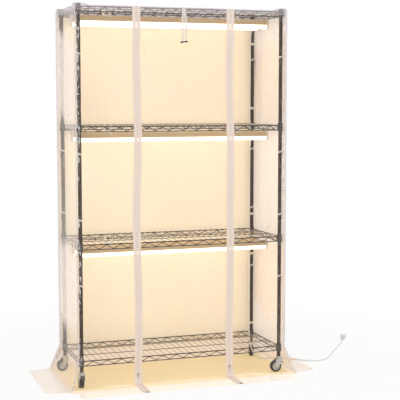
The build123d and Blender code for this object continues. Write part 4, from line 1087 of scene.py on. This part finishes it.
outer, inner = zipShape["middle"] + zipShape["tapeGap"], zipShape["middle"] - zipShape["tapeGap"]
farEdge, nearEdge = outer + zipShape["tapeWidth"], inner - zipShape["tapeWidth"]
doorParts, hemParts = [], []
for name, side in sides.items():
    fixedTape = join([wallTape("tape", side, outer, farEdge),
                      floorTape("tape", side, outer, farEdge, -panelY - 20 * mm)], f"zip_tape_fixed_{name}")
    finishPiece(fixedTape, zipTape, "stand", ["zip_tapes_fixed"])
    fixedTeeth = join([toothRow("teeth", side, False, True), toothRow("teeth", side, False, False)],
                      f"zip_teeth_fixed_{name}")
    finishPiece(fixedTeeth, zipNylon, "stand")
    doorTape = wallTape(f"zip_tape_door_{name}", side, nearEdge, inner)
    finishPiece(doorTape, zipTape, "stand", ["zip_tapes_door"])
    doorTeeth = toothRow(f"zip_teeth_door_{name}", side, True, True)
    finishPiece(doorTeeth, zipNylon, "stand")
    riseWithDoor(doorTape)
    riseWithDoor(doorTeeth)
    hemTape = floorTape(f"zip_tape_hem_{name}", side, nearEdge, inner, hemHigh.y)
    finishPiece(hemTape, zipTape, "door_hem", ["hem_tapes"])
    hemTeeth = toothRow(f"zip_teeth_hem_{name}", side, True, False)
    finishPiece(hemTeeth, zipNylon, "door_hem")
    doorParts += [doorTape, doorTeeth]
    hemParts += [hemTape, hemTeeth]
print("stage: zips")

# Edge bindings and corner seams
trimShape = {"drop": 3.5 * mm, "lap": 5 * mm, "rise": 0.9 * mm, "proud": 1.2 * mm, "finWidth": 6.5 * mm,
             "thick": 0.6 * mm}


def bindingStrip(alongX, side):
    # a tape folded over the edge where the top meets a wall
    half, wall = (panelX, panelY) if alongX else (panelY, panelX)

    def place(across, down):
        run = (2 * down - 1) * half
        x, y = (run, side * wall) if alongX else (side * wall, run)
        past = across * (trimShape["lap"] + trimShape["drop"]) - trimShape["lap"]
        out = trimShape["proud"] + min(0, past) + 0.5 * mm * ruffle(run * 30, side * 3.0, 6.0)
        height = topHeight(x, y) + trimShape["rise"] - max(0, past)
        return (x, y + side * out, height) if alongX else (x + side * out, y, height)

    return sheetGrid("binding", 7, 150 if alongX else 60, place)


bindings = join([bindingStrip(alongX, side) for alongX in (True, False) for side in (-1, 1)],
                "top_edge_binding")
finishPiece(thicken(bindings, trimShape["thick"]), bindingTape, "stand")


def cornerPoint(height, signX, signY):
    # where the cover's upright corner is at a height, with its flare at the foot
    out = 0.0
    if height < filmShape["flareTop"]:
        low, high = 0.0, 1.0
        for step in range(20):
            middle = (low + high) / 2
            if flareCurve(middle)[1] > height:
                low = middle
            else:
                high = middle
        out = flareCurve(low)[0]
    return (signX * (panelX + (filmShape["footX"] - panelX) * out),
            signY * (panelY + (filmShape["footY"] - panelY) * out))


def cornerSeam(signX, signY):
    # welded fin that stands out where two walls meet
    top = topHeight(signX * panelX, signY * panelY) - 4 * mm

    def place(across, down):
        height = top * (1 - down) + 2.2 * mm * down
        x, y = cornerPoint(height, signX, signY)
        out = (across * trimShape["finWidth"] + 0.4 * mm) / math.sqrt(2)
        sway = 1.6 * mm * across * ruffle(signX * 2.0, signY * 5.0, height * 22)
        return x + signX * (out + sway), y + signY * (out - sway), height

    return sheetGrid("seam", 3, 170, place)


seams = join([cornerSeam(signX, signY) for signX in (-1, 1) for signY in (-1, 1)], "corner_seam_fins")
finishPiece(thicken(seams, trimShape["thick"]), seamFilm, "stand")
print("stage: seams and bindings")

# Gathers: spare film crumpled between a pole and the corner of the cover
gatherShape = {
    "width": 27 * mm, "inset": 7 * mm, "columns": 9, "rowsPerMetre": 210, "thick": 0.5 * mm, "deep": 4.2 * mm,
    "proud": 0.3 * mm,
    "runs": {
        "front_left": [(0.84, 1.566), (0.30, 0.62), (0.006, 0.21)],
        "front_right": [(0.62, 1.566), (0.006, 0.12)],
        "rear_left": [(1.15, 1.566), (0.33, 0.64), (0.006, 0.26)],
        "rear_right": [(1.22, 1.566)],
    },
}


def gatherSheet(corner, bottom, top, seed):
    signX, signY = (math.copysign(1, value) for value in corners[corner])

    def place(across, down):
        height = top + (bottom - top) * down
        wallX, wallY = cornerPoint(height, signX, signY)
        taper = easeBetween(height, bottom, bottom + 0.08) * (
            0.35 + 0.65 * easeBetween(top - height, -0.01, 0.05))
        wide = gatherShape["width"] * (0.35 + 0.65 * taper) * (0.8 + 0.5 * ruffle(seed, height * 9, 2.0))
        side = (across - 0.5) * wide
        fold = ruffle(across * 3.2 + seed, height * 14, seed)
        crumple = ruffle(across * 7.0, height * 60, seed + 4)
        crease = abs(ruffle(across * 4.5 + height * 22, height * 30, seed + 9))
        centre = gatherShape["inset"] - gatherShape["deep"] * taper * (
            0.8 * fold + 0.45 * crumple - 0.9 * crease)
        x = wallX - signX * (centre - side) / math.sqrt(2)
        y = wallY - signY * (centre + side) / math.sqrt(2)
        return (signX * min(abs(x), abs(wallX) + gatherShape["proud"]),
                signY * min(abs(y), abs(wallY) + gatherShape["proud"]), height)

    rows = int((top - bottom) * gatherShape["rowsPerMetre"])
    return thicken(sheetGrid("gather", gatherShape["columns"], rows, place), gatherShape["thick"])


for number, (corner, runs) in enumerate(gatherShape["runs"].items()):
    crumples = [gatherSheet(corner, bottom, top, 3.7 * number + 1.3 * place)
                for place, (bottom, top) in enumerate(runs)]
    finishGroup(crumples, f"film_gather_{corner}", 24, gatherFilmPaintedGlints)
print("stage: gathers")

# Ties: a band knotted round the pole with two tails, its ends sewn into the corner seam
tieShape = {
    "levels": [0.4275, 0.6975, 0.9675, 1.372], "bandHeight": 6.5 * mm, "bandRadius": 8.5 * mm,
    "bandWall": 0.9 * mm, "climb": 0.42, "knot": 4.6 * mm, "tailWidth": 5 * mm, "tailLength": 27 * mm,
    "strapThick": 0.8 * mm, "lumpSeed": 7,  # the lumps of the knots come out alike in each run
}


def tieTail(seed, turn, knotSpot, outwards):
    lean = 0.35 * turn + 0.3 * ruffle(seed, turn, 1.0)
    long = tieShape["tailLength"] * (1 + 0.35 * ruffle(seed, turn, 7.0))
    sideways = Vector((-outwards.y, outwards.x, 0))

    def place(across, down):
        spread = (across - 0.5) * tieShape["tailWidth"] + lean * long * 0.45 * down ** 1.3
        curl = 1.2 * mm * math.sin(down * 5 + turn)
        return knotSpot + sideways * spread + outwards * (0.8 * mm + curl) - Vector((0, 0, long * down))

    return thicken(sheetGrid("tail", 3, 14, place), trimShape["thick"])


def tieBand(x, y, level, seed):
    radius, wall, half = tieShape["bandRadius"], tieShape["bandWall"], tieShape["bandHeight"] / 2
    band = lathe("band", [
        (radius, -half), (radius + wall * 0.6, -half - 0.2 * mm), (radius + wall, -half * 0.7),
        (radius + wall * 1.2, 0), (radius + wall, half * 0.7), (radius + wall * 0.6, half + 0.2 * mm),
        (radius, half)], 28)
    climb = math.copysign(tieShape["climb"], x) * (1 + 0.6 * ruffle(seed, 0.3, 5.0))
    band.data.transform(Matrix(((1, 0, 0, 0), (0, 1, 0, 0), (climb, 0.3 * climb, 1, 0), (0, 0, 0, 1))))
    outwards = Vector((math.copysign(1, x), math.copysign(1, y), 0)).normalized()
    knotSpot = outwards * (radius + wall + 1.4 * mm)
    bpy.ops.mesh.primitive_uv_sphere_add(segments=14, ring_count=9, radius=tieShape["knot"],
                                         location=knotSpot)
    knot = bpy.context.object
    knot.scale = (0.72, 0.72, 0.85)
    applyPlace(knot)
    for vertex in knot.data.vertices:
        vertex.co += 0.9 * mm * noise.noise_vector(vertex.co * 240 + Vector((seed, 0, 0)))
    tails = [tieTail(seed, turn, knotSpot, outwards) for turn in (-1, 1)]
    reach = math.hypot(panelX - abs(x), panelY - abs(y)) - 0.5 * mm
    strap = block((reach - radius, tieShape["strapThick"], tieShape["bandHeight"] * 0.6),
                  outwards * ((reach + radius) / 2), 0.25 * mm, 1, math.atan2(outwards.y, outwards.x))
    tie = join([band, knot, *tails, strap], "tie")
    tie.data.transform(Matrix.Translation((x, y, level)))
    return tie


noise.seed_set(tieShape["lumpSeed"])
ties = [tieBand(x, y, level, 2.3 * place + 1.7 * number)
        for place, level in enumerate(tieShape["levels"]) for number, (x, y) in enumerate(corners.values())]
finishGroup(ties, "cover_tie_bands", 45, tieTape, ["cover_ties"])

# Roll-up tie: a ribbon whose two legs hang apart and meet at a toggle
toggleLow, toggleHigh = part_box("tie_toggle")
rollShape = {
    "middle": (toggleLow.x + toggleHigh.x) / 2, "start": 2.5 * mm, "spread": 9 * mm, "width": 9.5 * mm,
    "lap": 14 * mm, "proud": 2 * mm, "stand": 7.5 * mm, "foot": toggleHigh.z - 1 * mm, "twist": 2.6 * mm,
    "toggleHalf": 15.5 * mm, "toggleTilt": -9.0,
}


def ribbonLeg(turn):
    shape = rollShape
    edge = topHeight(shape["middle"], -panelY) + 1.8 * mm
    drop = edge - shape["foot"]

    def place(across, down):
        run = down * (drop + shape["lap"])
        spread = (across - 0.5) * shape["width"]
        if run < shape["lap"]:
            return (shape["middle"] + turn * shape["start"] + spread,
                    -panelY + shape["lap"] - run - shape["proud"], edge + 0.3 * mm * turn)
        share = (run - shape["lap"]) / drop
        apart = easeBetween(share, 0, 0.6) * (1 - 0.45 * easeBetween(share, 0.6, 1))
        middle = shape["middle"] + turn * (shape["start"] + (shape["spread"] - shape["start"]) * apart)
        narrow = 1 - 0.35 * easeBetween(share, 0.75, 1)
        out = shape["stand"] * easeBetween(share, 0, 0.3) + 0.8 * mm * turn * math.sin(share * 7)
        out += turn * (across - 0.5) * shape["twist"] * math.sin(share * 3.1)
        return middle + spread * narrow, -panelY - shape["proud"] - out, edge - share * drop

    return thicken(sheetGrid("leg", 5, 60, place), trimShape["thick"])


ribbon = join([ribbonLeg(-1), ribbonLeg(1)], "roll_tie_ribbon")
finishPiece(ribbon, tieTape, "stand", ["roll_tie"])

half = rollShape["toggleHalf"]
togglePart = [(onAxis, -half), (2.3 * mm, -half + 0.1 * mm), (3.3 * mm, -half + 1.2 * mm),
              (3.5 * mm, -half + 3.5 * mm), (3.2 * mm, -half * 0.45), (2.3 * mm, -2.6 * mm)]
otherPart = [(radius, -height) for radius, height in reversed(togglePart)]
toggle = lathe("tie_toggle_bar", togglePart + otherPart, 24)
toggle.data.transform(
    Matrix.Translation((rollShape["middle"], -panelY - rollShape["proud"] - rollShape["stand"],
                        (toggleLow.z + toggleHigh.z) / 2 + 1 * mm))
    @ Matrix.Rotation(math.radians(90 + rollShape["toggleTilt"]), 4, "Y"))
smooth(toggle, 45)
finishPiece(toggle, blackNylon, "stand", ["tie_toggle"])

# Zip end stops on the hem's outer edge
stopShape = {"size": (9 * mm, 4 * mm, 3.2 * mm), "inset": 2.6 * mm, "height": 3.4 * mm, "bevel": 0.8 * mm}
stopPlaces = [(side * zipShape["middle"], hemLow.y + stopShape["inset"], stopShape["height"])
              for side in sides.values()]
stops = [block(stopShape["size"], place, stopShape["bevel"], 2) for place in stopPlaces]
finishGroup(stops, "zip_end_stops", 40, blackNylon)

# Strain relief: a ribbed boot where the cord enters the plug
bootShape = {"length": 26 * mm, "root": 5.2 * mm, "tip": 3.5 * mm, "bore": 2.6 * mm, "ribs": 6,
             "ribShare": 0.62, "groove": 0.7 * mm, "edge": 0.01}
profile = [(bootShape["bore"], 1 * mm)]
for rib in range(bootShape["ribs"]):
    low, high = rib / bootShape["ribs"], (rib + bootShape["ribShare"]) / bootShape["ribs"]
    for share, cut in ((low, bootShape["groove"]), (low + bootShape["edge"], 0), (high, 0),
                       (high + bootShape["edge"], bootShape["groove"])):
        radius = bootShape["root"] + (bootShape["tip"] - bootShape["root"]) * share - cut
        profile.append((radius, -bootShape["length"] * share))
profile.append((bootShape["bore"], -bootShape["length"]))
boot = lathe("plug_strain_relief", profile, 24)
cordEnd = Vector(cordRoute[-1])
heading = (cordEnd - Vector(cordRoute[-2])).normalized()
boot.data.transform(Matrix.Translation((cordEnd.x, cordEnd.y, bootShape["root"] + 0.2 * mm))
                    @ heading.to_track_quat("Z", "Y").to_matrix().to_4x4())
smooth(boot, 40)
finishPiece(boot, plugAbs, "stand")
print("stage: ties, toggle and small parts")

print("stage: done")
